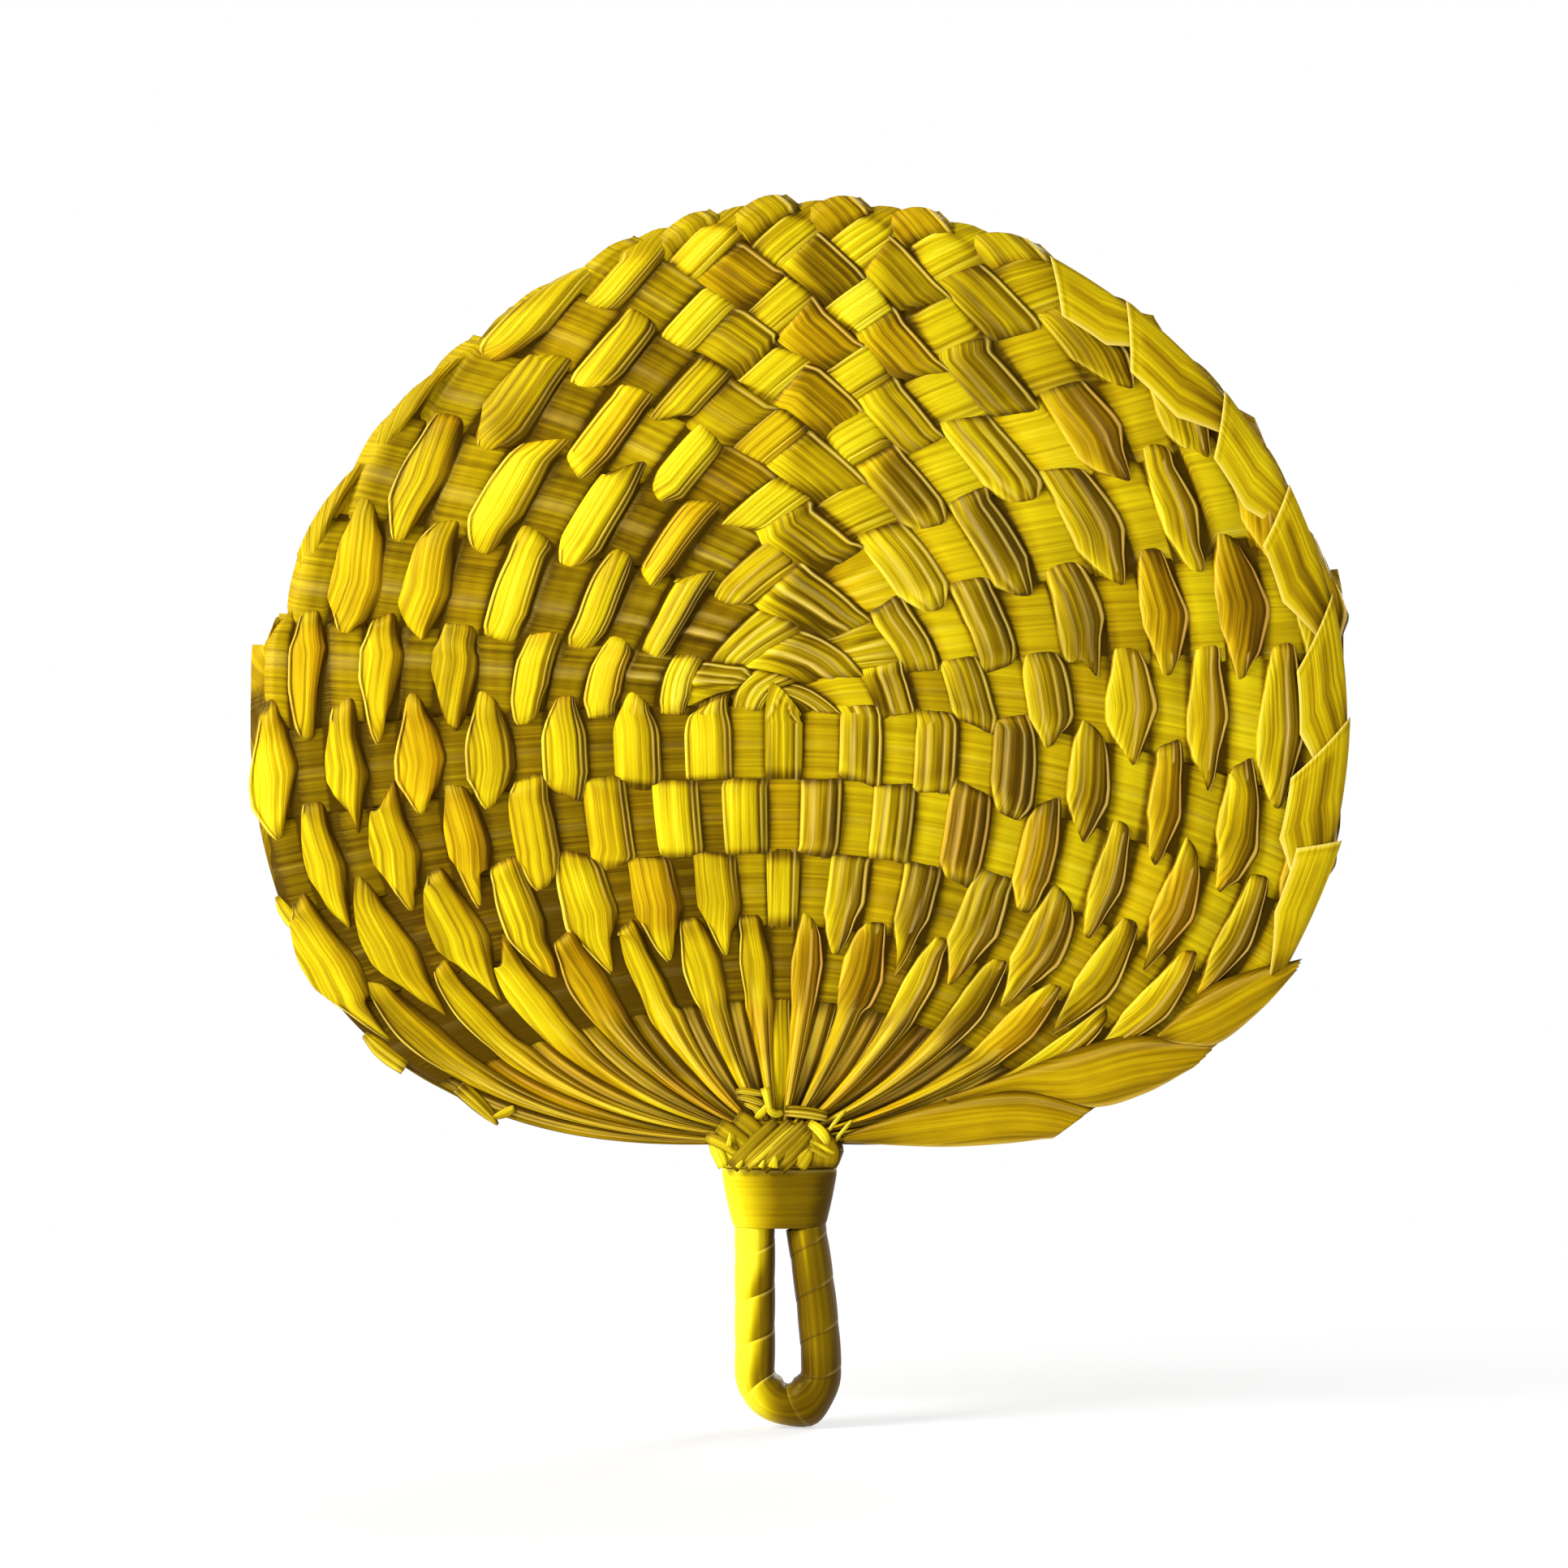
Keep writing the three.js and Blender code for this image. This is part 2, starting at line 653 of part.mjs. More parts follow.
const tailEnd = knotCentre.clone().add(new THREE.Vector2(-knotWidth / 2 - seatGap, knotTailRise));
const tailStart = tailEnd.clone().sub(new THREE.Vector2(knotTailLength, 0));
addPiece("knot_tail", tie(tailStart, tailEnd, knotTailWidth, knotFront), bindingColour, 0.45);
addPiece("cross_tie", tie(crossTieStart, crossTieEnd, crossTieWidth, knotFront), bindingColour, 0.45);

const sideTieFront = -neckHalfDepth - seatGap - tieThickness;
addPiece("side_tie", tie(sideTieStart, sideTieEnd, sideTieWidth, sideTieFront), bindingColour, 0.45);

export default fan;
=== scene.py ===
import bpy
import math
import numpy as np
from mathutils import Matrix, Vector


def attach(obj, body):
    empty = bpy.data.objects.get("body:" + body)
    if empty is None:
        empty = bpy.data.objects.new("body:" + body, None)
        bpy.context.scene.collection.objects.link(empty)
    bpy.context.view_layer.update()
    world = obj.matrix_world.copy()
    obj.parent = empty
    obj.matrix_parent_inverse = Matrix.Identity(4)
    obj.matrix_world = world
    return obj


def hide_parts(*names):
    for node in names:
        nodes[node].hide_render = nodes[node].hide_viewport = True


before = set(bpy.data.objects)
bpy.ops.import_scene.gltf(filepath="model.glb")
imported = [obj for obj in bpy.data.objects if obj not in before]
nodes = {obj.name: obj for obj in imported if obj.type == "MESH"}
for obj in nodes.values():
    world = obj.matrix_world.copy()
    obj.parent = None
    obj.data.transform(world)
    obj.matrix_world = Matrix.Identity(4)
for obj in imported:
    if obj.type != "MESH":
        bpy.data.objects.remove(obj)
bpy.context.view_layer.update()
print("frame loaded:", len(nodes), "nodes")

mm = 0.001
dice = np.random.default_rng(41)


def ease(low, high, x):
    # smooth step from 0 at low to 1 at high
    t = np.clip((x - low) / (high - low), 0.0, 1.0)
    return t * t * (3.0 - 2.0 * t)


def easeOver(span, x, start=0.0):
    # the same step over a span that is counted from start
    return ease(start + span[0], start + span[1], x)


def softLines(x, table):
    # sum of soft lines, each with its strength, place and half width
    return sum(strength * np.exp(-(((x - at) / half) ** 2)) for strength, at, half in table)


def relief(look, lines):
    # pale lines stand up, dark ones lie deeper
    return look["raised"] * np.maximum(lines, 0) + look["sunk"] * np.minimum(lines, 0)


def hillOf(x, low, crest, high):
    # 1 at the crest, 0 at low and high, a parabola on each side
    return np.where(x < crest, 1 - ((crest - x) / (crest - low)) ** 2, 1 - ((x - crest) / (high - crest)) ** 2)


def linear(colour):
    # 0 to 255 screen colour to linear light
    c = np.asarray(colour, float) / 255.0
    return tuple(np.where(c <= 0.04045, c / 12.92, ((c + 0.055) / 1.055) ** 2.4)) + (1.0,)


# the blade's net, the same curves as the solids have (millimetres, from the start of the plait)
net = dict(
    perSide=14, pitch={-1: 11.4, 1: 12.1}, rise={-1: 19.8, 1: 21.8}, turned={-1: 1.0, 1: 1.6}, softness=0.75,
    drawIn=0.12, drawRise=25.0, drawFrom=50.0, drawTo=110.0, joinBlend=3.0,
    start=159.0, sag=6.3, sagFade=15.0, bow=5.0, bowHalf=170.0,
    wefts=4, firstDrop=17.4, weftPitch=22.9, halvings=26,
    droop={-1: 9.6, 1: 31.0}, growth={-1: 1.62, 1: 1.4}, droopReach=151.0,
    rimX=5.8, rimY=-12.6, rimHalf=170.0, rimHeight=162.9, rimPowerLeft=1.75, rimPowerRight=2.0,
    shoulder=68.0, shoulderStep=5.2, neckX=-1.2, neckHalf=19.2, neckDome=9.3, neckBase=15.2 - 159.0,
    neckFan=math.radians(80.0), neckPast=-0.2, halfWeft=0.4, rootRows=2.0, weftShift={-1: 1.0, 1: 0.0},
)


def riseOf(side, u):
    # height at which segment u of a side crosses the middle line
    past = u - net["turned"][side]
    return net["rise"][side] / 2 * (past + np.hypot(past, net["softness"]))


def crossing(u, v):
    # the parabola of left segment u meets that of right segment v, drawn in near the middle line
    left, right, rise = net["pitch"][-1] * u, net["pitch"][1] * v, riseOf(-1, u)
    s = np.sqrt((left + right) / (left + right * (rise / riseOf(1, v)) ** 2))
    x, y = left * (s * s - 1), rise * s
    near = 1 - ease(net["drawFrom"], net["drawTo"], np.abs(x))
    x = x * (1 - net["drawIn"] * near * ease(0, net["drawRise"], y))
    return np.stack([x, y - net["sag"] * np.exp(-y / net["sagFade"])])


def spoke(side, u, t):
    # quadratic curve from the neck's dome, turning upright at the start of the plait
    angle = u / (net["perSide"] + 0.5) * net["neckFan"]
    nx = net["neckX"] + side * net["neckHalf"] * np.sin(angle)
    ny = net["neckBase"] + net["neckDome"] * np.cos(angle)
    x = side * u * net["pitch"][side]
    sy = -net["shoulder"] - net["shoulderStep"] * u
    a, b, c = (1 - t) ** 2, 2 * t * (1 - t), t * t
    return np.stack([a * nx + (b + c) * x, a * ny + b * sy - c * net["sag"]])


def weftPlace(side, u, w):
    # share of the spoke at which it meets weft line w, by halving
    low, high = np.zeros_like(u), np.ones_like(u)
    drop = net["firstDrop"] + net["weftPitch"] * (w - 1)
    hang = {k: net["droop"][k] * net["growth"][k] ** (w - 1) / net["droopReach"] ** 2 for k in (-1, 1)}
    for step in range(net["halvings"]):
        t = (low + high) / 2
        x, y = spoke(side, u, t)
        below = y < -drop - np.where(x < 0, hang[-1], hang[1]) * x * x
        low, high = np.where(below, t, low), np.where(below, high, t)
    return (low + high) / 2


def lowerPoint(side, u, w):
    # below the plait: weft line w, and past the last weft on to the neck
    last = net["wefts"] + 0.5
    t = weftPlace(side, u, np.minimum(w, last))
    left = (last + net["rootRows"] - w) / net["rootRows"]
    return spoke(side, u, t * np.clip(left, net["neckPast"], 1))


def upperPoint(side, u, q):
    return crossing(u, q) if side < 0 else crossing(q, u)


def joinPoint(side, u, q):
    # cubic between the first weft's upper edge and the first crossing
    half = net["halfWeft"]
    begin = net["weftShift"][side] - 1 + half
    span = 1 - begin
    t = (q - begin) / span
    one = np.ones_like(u)
    p1, p2 = lowerPoint(side, u, (1 - half) * one), upperPoint(side, u, one)
    m1 = (p2 - lowerPoint(side, u, one)) * span / (span + half)
    m2 = (upperPoint(side, u, 2 * one) - p1) * span / (span + 1)
    mid = (2 * t**3 - 3 * t**2 + 1) * p1 + (t**3 - 2 * t**2 + t) * m1
    return mid + (3 * t**2 - 2 * t**3) * p2 + (t**3 - t**2) * m2


def stripPoint(side, u, q):
    # line u of a side at row q: wefts below, then the join, then the crossings with the other side
    u, q = np.broadcast_arrays(np.asarray(u, float), np.asarray(q, float))
    begin = net["weftShift"][side] - 1 + net["halfWeft"]
    low = lowerPoint(side, u, net["weftShift"][side] - np.minimum(q, begin))
    mid = joinPoint(side, u, np.clip(q, begin, 1))
    up = np.maximum(q, 1)
    high = upperPoint(side, u, up)
    if np.any(u < 1):
        other = joinPoint(-side, up, np.minimum(u, 1))
        high = high + (other - high) * np.where(u < 1, ease(1, net["joinBlend"], up), 0)
    return np.where(q <= begin, low, np.where(q >= 1, high, mid))


def rimValue(x, y):
    # below 1 inside the rim
    dx, dy = x - net["rimX"], y - net["rimY"]
    power = np.where(dx < 0, net["rimPowerLeft"], net["rimPowerRight"])
    return (np.abs(dx) / net["rimHalf"]) ** power + (np.maximum(dy, 0) / net["rimHeight"]) ** power


def bowDepth(x):
    return net["bow"] * (x / net["bowHalf"]) ** 2


leafUv = "leafUv"


def addObject(name, data):
    made = bpy.data.objects.new(name, data)
    bpy.context.scene.collection.objects.link(made)
    return made


def addMesh(name, points, faces, along, across, values, material):
    # points in millimetres, one uv pair and one set of attribute values for each point
    mesh = bpy.data.meshes.new(name)
    mesh.from_pydata((points * mm).tolist(), [], faces.tolist())
    loops = np.zeros(len(mesh.loops), np.int32)
    mesh.loops.foreach_get("vertex_index", loops)
    uv = mesh.uv_layers.new(name=leafUv)
    uv.data.foreach_set("uv", np.stack([along, across], -1)[loops].astype(np.float32).ravel())
    for key, value in values.items():
        layer = mesh.attributes.new(key, "FLOAT", "POINT")
        layer.data.foreach_set("value", np.asarray(value, np.float32).ravel())
    mesh.polygons.foreach_set("use_smooth", np.ones(len(mesh.polygons), bool))
    mesh.materials.append(material)
    mesh.update()
    return addObject(name, mesh)


def fitPiece(piece, replaced):
    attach(piece, "root")
    if replaced:
        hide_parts(*replaced)


def bothSides(face, back):
    # a closed ring for each row: over the face, then back behind it
    return np.concatenate([face, back[:, ::-1]], 1)


def flatten(face, back, shape):
    # one value for each point of the rings, spread over the grid first
    return bothSides(np.broadcast_to(face, shape), np.broadcast_to(back, shape)).ravel()


def ringFaces(rows, size):
    # quads between rings of a closed profile, with the two ends shut by quads across the profile
    i, k = np.meshgrid(np.arange(rows - 1), np.arange(size), indexing="ij")
    j, l = i + 1, (k + 1) % size
    quads = np.stack([i * size + k, i * size + l, j * size + l, j * size + k], -1).reshape(-1, 4)
    a = np.arange(size // 2 - 1)
    cap = np.stack([a, size - 1 - a, size - 2 - a, a + 1], -1)
    last = (rows - 1) * size
    return np.concatenate([quads, cap, last + cap[:, ::-1]])


def lengthsOf(path):
    # length along a path up to each of its points
    return np.concatenate([[0], np.cumsum(np.linalg.norm(np.diff(path, axis=0), axis=1))])


# painted light and shade of a leaf strip's back, which is pale where its front is hollow and carries painted shade
# where its front stands over; it also takes a share of the front's painted light and shade, and is darker towards one
# edge
backLook = dict(
    hollowShade=0.7, toneAndShade=0.25, dark=0.5, darkAt=(0.4, 1.0), lines=((0.8, -0.85, 0.06),), rimLines=((-1.2, 1, 0.07),),
    grainRoom=400,
)


def leafPiece(node, x, y, front, thick, values, material):
    # x, y, front are grids (along, across) in the blade's plane; front stands towards the viewer
    s = backLook
    depth = bowDepth(x) - front
    z = net["start"] + y
    rings = bothSides(np.stack([x, depth, z], -1), np.stack([x, depth + thick, z], -1))
    rows, size = rings.shape[:2]
    columns = x.shape[1]
    middle = columns // 2
    along = np.repeat(lengthsOf(np.stack([x[:, middle], y[:, middle]], -1)), size)
    wide = np.hypot(x - x[:, [middle]], y - y[:, [middle]]) * np.sign(np.arange(columns) - middle)
    across = flatten(wide, wide, x.shape) + dice.uniform(0, s["grainRoom"])
    c = np.linspace(-1, 1, columns)
    behind = dict(
        values,
        toneAndShade=s["toneAndShade"] * values["toneAndShade"] - s["dark"] * easeOver(s["darkAt"], c),
        hollowShade=s["hollowShade"] * (1 - values["hollowShade"]),
        edge=softLines(c, s["lines"]) + softLines(np.abs(c), s["rimLines"]),
    )
    flat = {key: flatten(values[key], behind[key], x.shape) for key in values}
    faces = ringFaces(rows, size)
    fitPiece(addMesh("leaf_" + node, rings.reshape(-1, 3), faces, along, across, flat, material), [node])


def socket(group, kind, name, way, value=None):
    s = group.interface.new_socket(name=name, in_out=way, socket_type=kind)
    if value is not None:
        s.default_value = value


class Wires:
    # short hand for placing and joining nodes in one tree
    def __init__(self, tree):
        self.tree = tree

    def node(self, kind, **settings):
        n = self.tree.nodes.new(kind)
        for key, value in settings.items():
            setattr(n, key, value)
        return n

    def put(self, target, value):
        if isinstance(value, bpy.types.NodeSocket):
            self.tree.links.new(value, target)
        else:
            target.default_value = value

    def math(self, operation, a, b=None, c=None, clamp=False):
        n = self.node("ShaderNodeMath", operation=operation, use_clamp=clamp)
        for k, value in enumerate((a, b, c)):
            if value is not None:
                self.put(n.inputs[k], value)
        return n.outputs[0]

    def spread(self, value, gain, base=0.5, clamp=False):
        # what a value differs from a half, times gain, added to base
        return self.math("MULTIPLY_ADD", self.math("SUBTRACT", value, 0.5), gain, base, clamp)

    def mix(self, share, a, b, blend="MIX"):
        n = self.node("ShaderNodeMix", data_type="RGBA", blend_type=blend)
        self.put(n.inputs["Factor"], share)
        self.put(n.inputs[6], a)
        self.put(n.inputs[7], b)
        return n.outputs[2]

    def noise(self, vector, scale, detail=2.0, rough=0.5):
        n = self.node("ShaderNodeTexNoise", noise_dimensions="3D")
        for key, value in (("Vector", vector), ("Scale", scale), ("Detail", detail), ("Roughness", rough)):
            self.put(n.inputs[key], value)
        return n.outputs[0]

    def attribute(self, name):
        return self.node("ShaderNodeAttribute", attribute_name=name).outputs["Fac"]

    def ramp(self, share, stops):
        n = self.node("ShaderNodeValToRGB")
        while len(n.color_ramp.elements) < len(stops):
            n.color_ramp.elements.new(1.0)
        for element, (place, colour) in zip(n.color_ramp.elements, stops):
            element.position, element.color = place, colour
        self.put(n.inputs[0], share)
        return n.outputs[0]


fibreLook = dict(squeeze=(0.018, 1.0, 1.0), broad=(0.7, 1.0), fine=(2.2, 2.0, 0.6), broadShare=0.7, gain=3.2)
mottleLook = dict(detail=3.0, gain=2.2)


def fibreGroup():
    # long thin fibres: noise squeezed along the strip; Mask 0 to 1, Height for the bump
    s = fibreLook
    g = bpy.data.node_groups.new("leafFibres", "ShaderNodeTree")
    socket(g, "NodeSocketVector", "Leaf", "INPUT")
    socket(g, "NodeSocketFloat", "Fine", "INPUT", 1.0)
    socket(g, "NodeSocketFloat", "Mask", "OUTPUT")
    socket(g, "NodeSocketFloat", "Height", "OUTPUT")
    w = Wires(g)
    given, out = w.node("NodeGroupInput"), w.node("NodeGroupOutput")
    stretch = w.node("ShaderNodeVectorMath", operation="MULTIPLY")
    w.put(stretch.inputs[0], given.outputs["Leaf"])
    w.put(stretch.inputs[1], s["squeeze"])
    scaled = w.node("ShaderNodeVectorMath", operation="SCALE")
    w.put(scaled.inputs[0], stretch.outputs[0])
    w.put(scaled.inputs["Scale"], given.outputs["Fine"])
    broad, fine = (w.noise(scaled.outputs[0], *s[key]) for key in ("broad", "fine"))
    both = w.math("MULTIPLY_ADD", broad, s["broadShare"], w.math("MULTIPLY", fine, 1 - s["broadShare"]))
    w.put(out.inputs["Mask"], w.spread(both, s["gain"], clamp=True))
    w.put(out.inputs["Height"], both)
    return g


def mottleGroup():
    # slow patches of paler and darker leaf
    g = bpy.data.node_groups.new("leafMottle", "ShaderNodeTree")
    socket(g, "NodeSocketFloat", "Size", "INPUT", 40.0)
    socket(g, "NodeSocketFloat", "Patch", "OUTPUT")
    w = Wires(g)
    given, out = w.node("NodeGroupInput"), w.node("NodeGroupOutput")
    place = w.node("ShaderNodeTexCoord")
    patch = w.noise(place.outputs["Object"], given.outputs["Size"], mottleLook["detail"])
    w.put(out.inputs["Patch"], w.spread(patch, mottleLook["gain"], clamp=True))
    return g


fibres, mottle = fibreGroup(), mottleGroup()
leafRamp = [
    (0.0, linear((76, 52, 0))), (0.25, linear((131, 103, 2))), (0.5, linear((186, 156, 6))),
    (0.75, linear((229, 205, 14))), (1.0, linear((249, 239, 50))),
]
# pale is the colour of the painted highlight on fold lips and lapped edges
tints = dict(pale=linear((240, 212, 118)), warm=(1.0, 0.68, 0.5, 1.0), sheen=linear((255, 232, 90)))


def leafMaterial(name, look):
    # leaf: a golden ramp driven by fibres, patches, the strip's own colour with its painted light and shade, painted
    # shade in its hollows, and pale and dark lines along its folds (painted highlight and painted shadow)
    m = bpy.data.materials.new(name)
    m.use_nodes = True
    w = Wires(m.node_tree)
    shader = m.node_tree.nodes["Principled BSDF"]
    uv = w.node("ShaderNodeUVMap", uv_map=leafUv)
    f = w.node("ShaderNodeGroup", node_tree=fibres)
    w.put(f.inputs["Leaf"], uv.outputs[0])
    w.put(f.inputs["Fine"], look["fine"])
    p = w.node("ShaderNodeGroup", node_tree=mottle)
    w.put(p.inputs["Size"], look["patchSize"])
    strength = w.math("MULTIPLY_ADD", w.attribute("calm"), -look["fibre"], look["fibre"])
    level = w.spread(f.outputs["Mask"], strength, look["level"])
    level = w.spread(p.outputs["Patch"], look["patch"], level)
    # colour with painted light and shade, painted shade in the hollows, fold lines with painted highlight and painted
    # shadow
    for key in ("toneAndShade", "hollowShade", "edge"):
        level = w.math("MULTIPLY_ADD", w.attribute(key), look[key], level)
    colour = w.ramp(level, leafRamp)
    # pale fold lines and lapped edges get the pale colour: painted highlight
    edgeHighlight = w.math("MULTIPLY", w.attribute("edge"), look["pale"], clamp=True)
    colour = w.mix(edgeHighlight, colour, tints["pale"])
    warm = w.math("MULTIPLY", w.attribute("warm"), 1.0, clamp=True)
    colour = w.mix(warm, colour, tints["warm"], "MULTIPLY")
    w.put(shader.inputs["Base Color"], colour)
    rough = w.math("MULTIPLY_ADD", f.outputs["Mask"], look["roughSpread"], look["rough"])
    w.put(shader.inputs["Roughness"], rough)
    w.put(shader.inputs["Specular IOR Level"], look["gloss"])
    w.put(shader.inputs["Specular Tint"], tints["sheen"])
    bump = w.node("ShaderNodeBump")
    w.put(bump.inputs["Strength"], look["bump"])
    w.put(bump.inputs["Distance"], look["bumpDepth"] * mm)
    w.put(bump.inputs["Height"], f.outputs["Height"])
    w.put(shader.inputs["Normal"], bump.outputs[0])
    return m


# gains of the painted light and shade, the painted shade in the hollows, and the fold lines with their painted
# highlight (pale)
leafLook = dict(
    fine=1.0, fibre=0.42, patch=0.16, patchSize=38.0, level=0.5, toneAndShade=0.26, hollowShade=-0.5, edge=0.2, pale=0.5,
    rough=0.36, roughSpread=0.16, gloss=0.26, bump=0.8, bumpDepth=0.8,
)
leafFinish = leafMaterial("palmLeaf", leafLook)
weftFinish = leafMaterial("palmWeft", dict(leafLook, fibre=0.26, bump=0.5))
bindingFinish = leafMaterial("palmBinding", dict(leafLook, level=0.6, fibre=0.26))
collarFinish = leafMaterial("palmCollar", dict(leafLook, level=0.52, fibre=0.12, bump=0.25))
wrapFinish = leafMaterial("palmWrap", dict(leafLook, level=0.52, fibre=0.2, bump=0.35))
stalkFinish = leafMaterial("palmStalk", dict(leafLook, level=0.3, fibre=0.3))
print("finishes made:", len(bpy.data.materials))


# leaf segments, woven over and under; a pair of values is for the left (-1) and the right (1) side
segmentLook = dict(
    rowSteps=22, thick=0.3, rowsBelow=8, rowsAbove=18, rowChange=(0.35, 0.65), endRows=(1.0, 15.5, 500),
    rootReach=1.07, midColumn=10,  # the column is one of acrossPlaces
    # where things begin and end, in rows, in millimetres or by the shape of a crossing
    rootAt=(-0.1, -0.9), lowerAt=(1.7, 0.6), upperAt=(-0.9, -0.4), towardsAt=-0.4,
    lensAt=(1.15, 2.0), broadAt=(0.9, 0.5), farAt=(60, 110), pointedAt=(30, 80),
    followAt=(-1.2, 0), skewAt=(-0.2, -1.2), bluntAt=(-1.0, 0), tuckAt=(-0.35, 0), tailAt=(-0.75, -0.35),
    hollowAt=(-0.1, 0.55), slitFrom=26.0, slitTo=64.0, slitDown=8, slitRow=-0.6, sliverFrom=-0.3,
    # widths, as shares of the room that a strip has
    slim={-1: (0.78, 0.88, 1.3), 1: (1.0, 1.12, 1.34)}, belowSlim={-1: 1.32, 1: 1.14}, lowerWide=1.15, sway=0.13,
    bladeWide=1.12, bladeNarrow=0.1, bladeEase=1.6, behindWide=1.3, behindSpread=1.0, rootNarrow=0.06, flange=1.14,
    stray=0.04, skew=0.07, follow={-1: 0.6, 1: 0.3}, blunt=0.2, bluntMiddle=0.3, tip=0.74, lowerTip=0.2,
    # heights
    fullness=0.6, floatFrom=0.5, floatTo=0.84, lift=0.8, lensLift=1.1, flatLift=0.45, tilt={-1: -0.3, 1: 0.4},
    flangeAt={-1: -0.5, 1: -0.4}, flangeUnder=0.1, crown=0.045, lensCrown=0.16, crownLow=0.2, crownPower=0.7,
    crownSpread=0.2, crest=0.2, foldLow=0.25, raised=0.22, sunk=0.3, tuck=1.6, bladeLevel=0.8, behindLevel=-0.6,
    gather=2.2, ridge=0.3, behindRidge=0.15, ridgePower=1.2,
    # shades: random differences, and painted light and shade: blades in front paler, strips behind darker, the blades'
    # right faces darker
    toneSpread=0.3, rootTone=1.1, rootToneAt=(-0.1, 0.3), bladeTone=0.45, behindTone=-0.2, behindHollow=0.75,
    tailTone=-0.1, calm=0.4, warm=0.3, warmMost=1.5, broadWarm=0.6, lensWarm=0.3, lensWarmAt=(-0.3, 0.5), rootWarm=0.2,
)
inner = np.array([
    -1, -0.97, -0.92, -0.87, -0.82, -0.76, -0.6, -0.4, -0.2, 0, 0.2, 0.35, 0.48, 0.54, 0.58, 0.62,
    0.66, 0.7, 0.74, 0.79, 0.84, 0.89, 0.94, 0.98, 1,
])
# the flange is painted fully dark, as painted shade in the corners between the strips
flangeReach = 0.3  # beyond 1 is the flange that closes the corners
acrossPlaces = np.concatenate([[-1 - flangeReach, -1.08], inner, [1.08, 1 + flangeReach]])


def waveOf(q, signs, first):
    # smooth wave through +1 (over) and -1 (under) at the whole rows
    k = np.clip(np.floor(q - first).astype(int), 0, len(signs) - 2)
    f = np.clip(q - first - k, 0, 1)
    return signs[k] + (signs[k + 1] - signs[k]) * (0.5 - 0.5 * np.cos(np.pi * f))


def perRow(q, values, first):
    # a value for each row, changing over quickly half way between two rows
    k = np.clip(np.floor(q - first).astype(int), 0, len(values) - 2)
    f = easeOver(segmentLook["rowChange"], q - first - k)
    return values[k] + (values[k + 1] - values[k]) * f


def segmentEnd(side, u):
    # row at which the line u of a side leaves the rim, for each u
    rows = np.linspace(*segmentLook["endRows"])
    x, y = stripPoint(side, u[:, None], rows[None])
    return rows[np.argmax(rimValue(x, y) >= 1, 1)]


def floatPlace(q, rows, signs):
    # distance in rows from the middle of the nearest float
    d = q - rows[signs > 0]
    return np.take_along_axis(d, np.argmin(np.abs(d), 1)[:, None], 1)


# a float's two edges: how steep and full its lower end is, how far and fast its upper end narrows;
# each has a value near the middle of the fan and its change far out
floatTop = 0.78
floatLook = {
    -1: dict(steep=(2.2, -0.8), full=(0.5, 0.4), narrow=(0.4, 0.3), bend=(2.6, -1.3)),
    1: dict(steep=(1.9, -0.8), full=(0.6, 0.35), narrow=(0.4, 0.4), bend=(2.2, -1.2)),
}


def floatWidth(d, edge, tip, far):
    # half width of a float: a bar near the middle; far out a pointed leaf with a corner on each side
    steep, full, narrow, bend = (near + change * far for near, change in floatLook[edge].values())
    low, high = np.clip(1 + d / tip, 0, 1), np.clip(d / floatTop, 0, 1)
    return np.where(d < 0, np.minimum(1, low * steep) ** full, 1 - narrow * high**bend)


# painted light and shade of a float: a base, then terms (place, span of the step, strength); end runs along the float,
# across over it. The parts that face the light are paler, those that turn away or dive under a neighbour darker
shadeLook = {
    -1: dict(
        square=(0.75, ("rise", 0.3, 1.0, -1.5), ("fall", 0.45, 1.0, -1.0), ("end", 0.6, 1.0, -0.5)),
        near=(0.6, ("across", 0.25, 0.75, -1.4), ("end", 0.3, 1.0, -0.3)),
        away=(0.3, ("across", 0.3, 0.95, -1.5), ("end", 0.4, 1.2, -0.7)),
        broad=(0.55, ("end", -0.3, -1.0, -1.0), ("across", -0.75, -1.0, -0.8)),
    ),
    1: dict(
        square=(-0.6, ("turn", 0.2, 1.0, 1.5), ("fall", 0.3, 1.0, -1.3), ("rise", 0.5, 1.0, -0.7)),
        near=(-0.8, ("across", -0.5, -0.95, 1.0), ("across", -0.2, 0.5, -0.4), ("end", -0.5, -1.0, 0.7)),
        away=(-0.5, ("across", -0.4, -0.75, 0.9), ("across", -0.1, 0.2, -0.7)),
        broad=(-0.85, ("end", 0.25, 1.0, -1.0), ("end", -0.5, -1.0, -0.6), ("end", 0.0, -0.4, 0.25)),
    ),
}


def shadeOf(side, e, c, far):
    # painted light and shade of a float, for square crossings, long narrow floats and broad short ones
    places = dict(end=e, across=c, rise=(e + c) / 2, fall=-(e + c) / 2, turn=(e - c) / 2)

    def total(kind):
        base, *terms = shadeLook[side][kind]
        return base + sum(strength * ease(low, high, places[way]) for way, low, high, strength in terms)

    near = total("near")
    return total("square"), near + (total("away") - near) * far, total("broad")
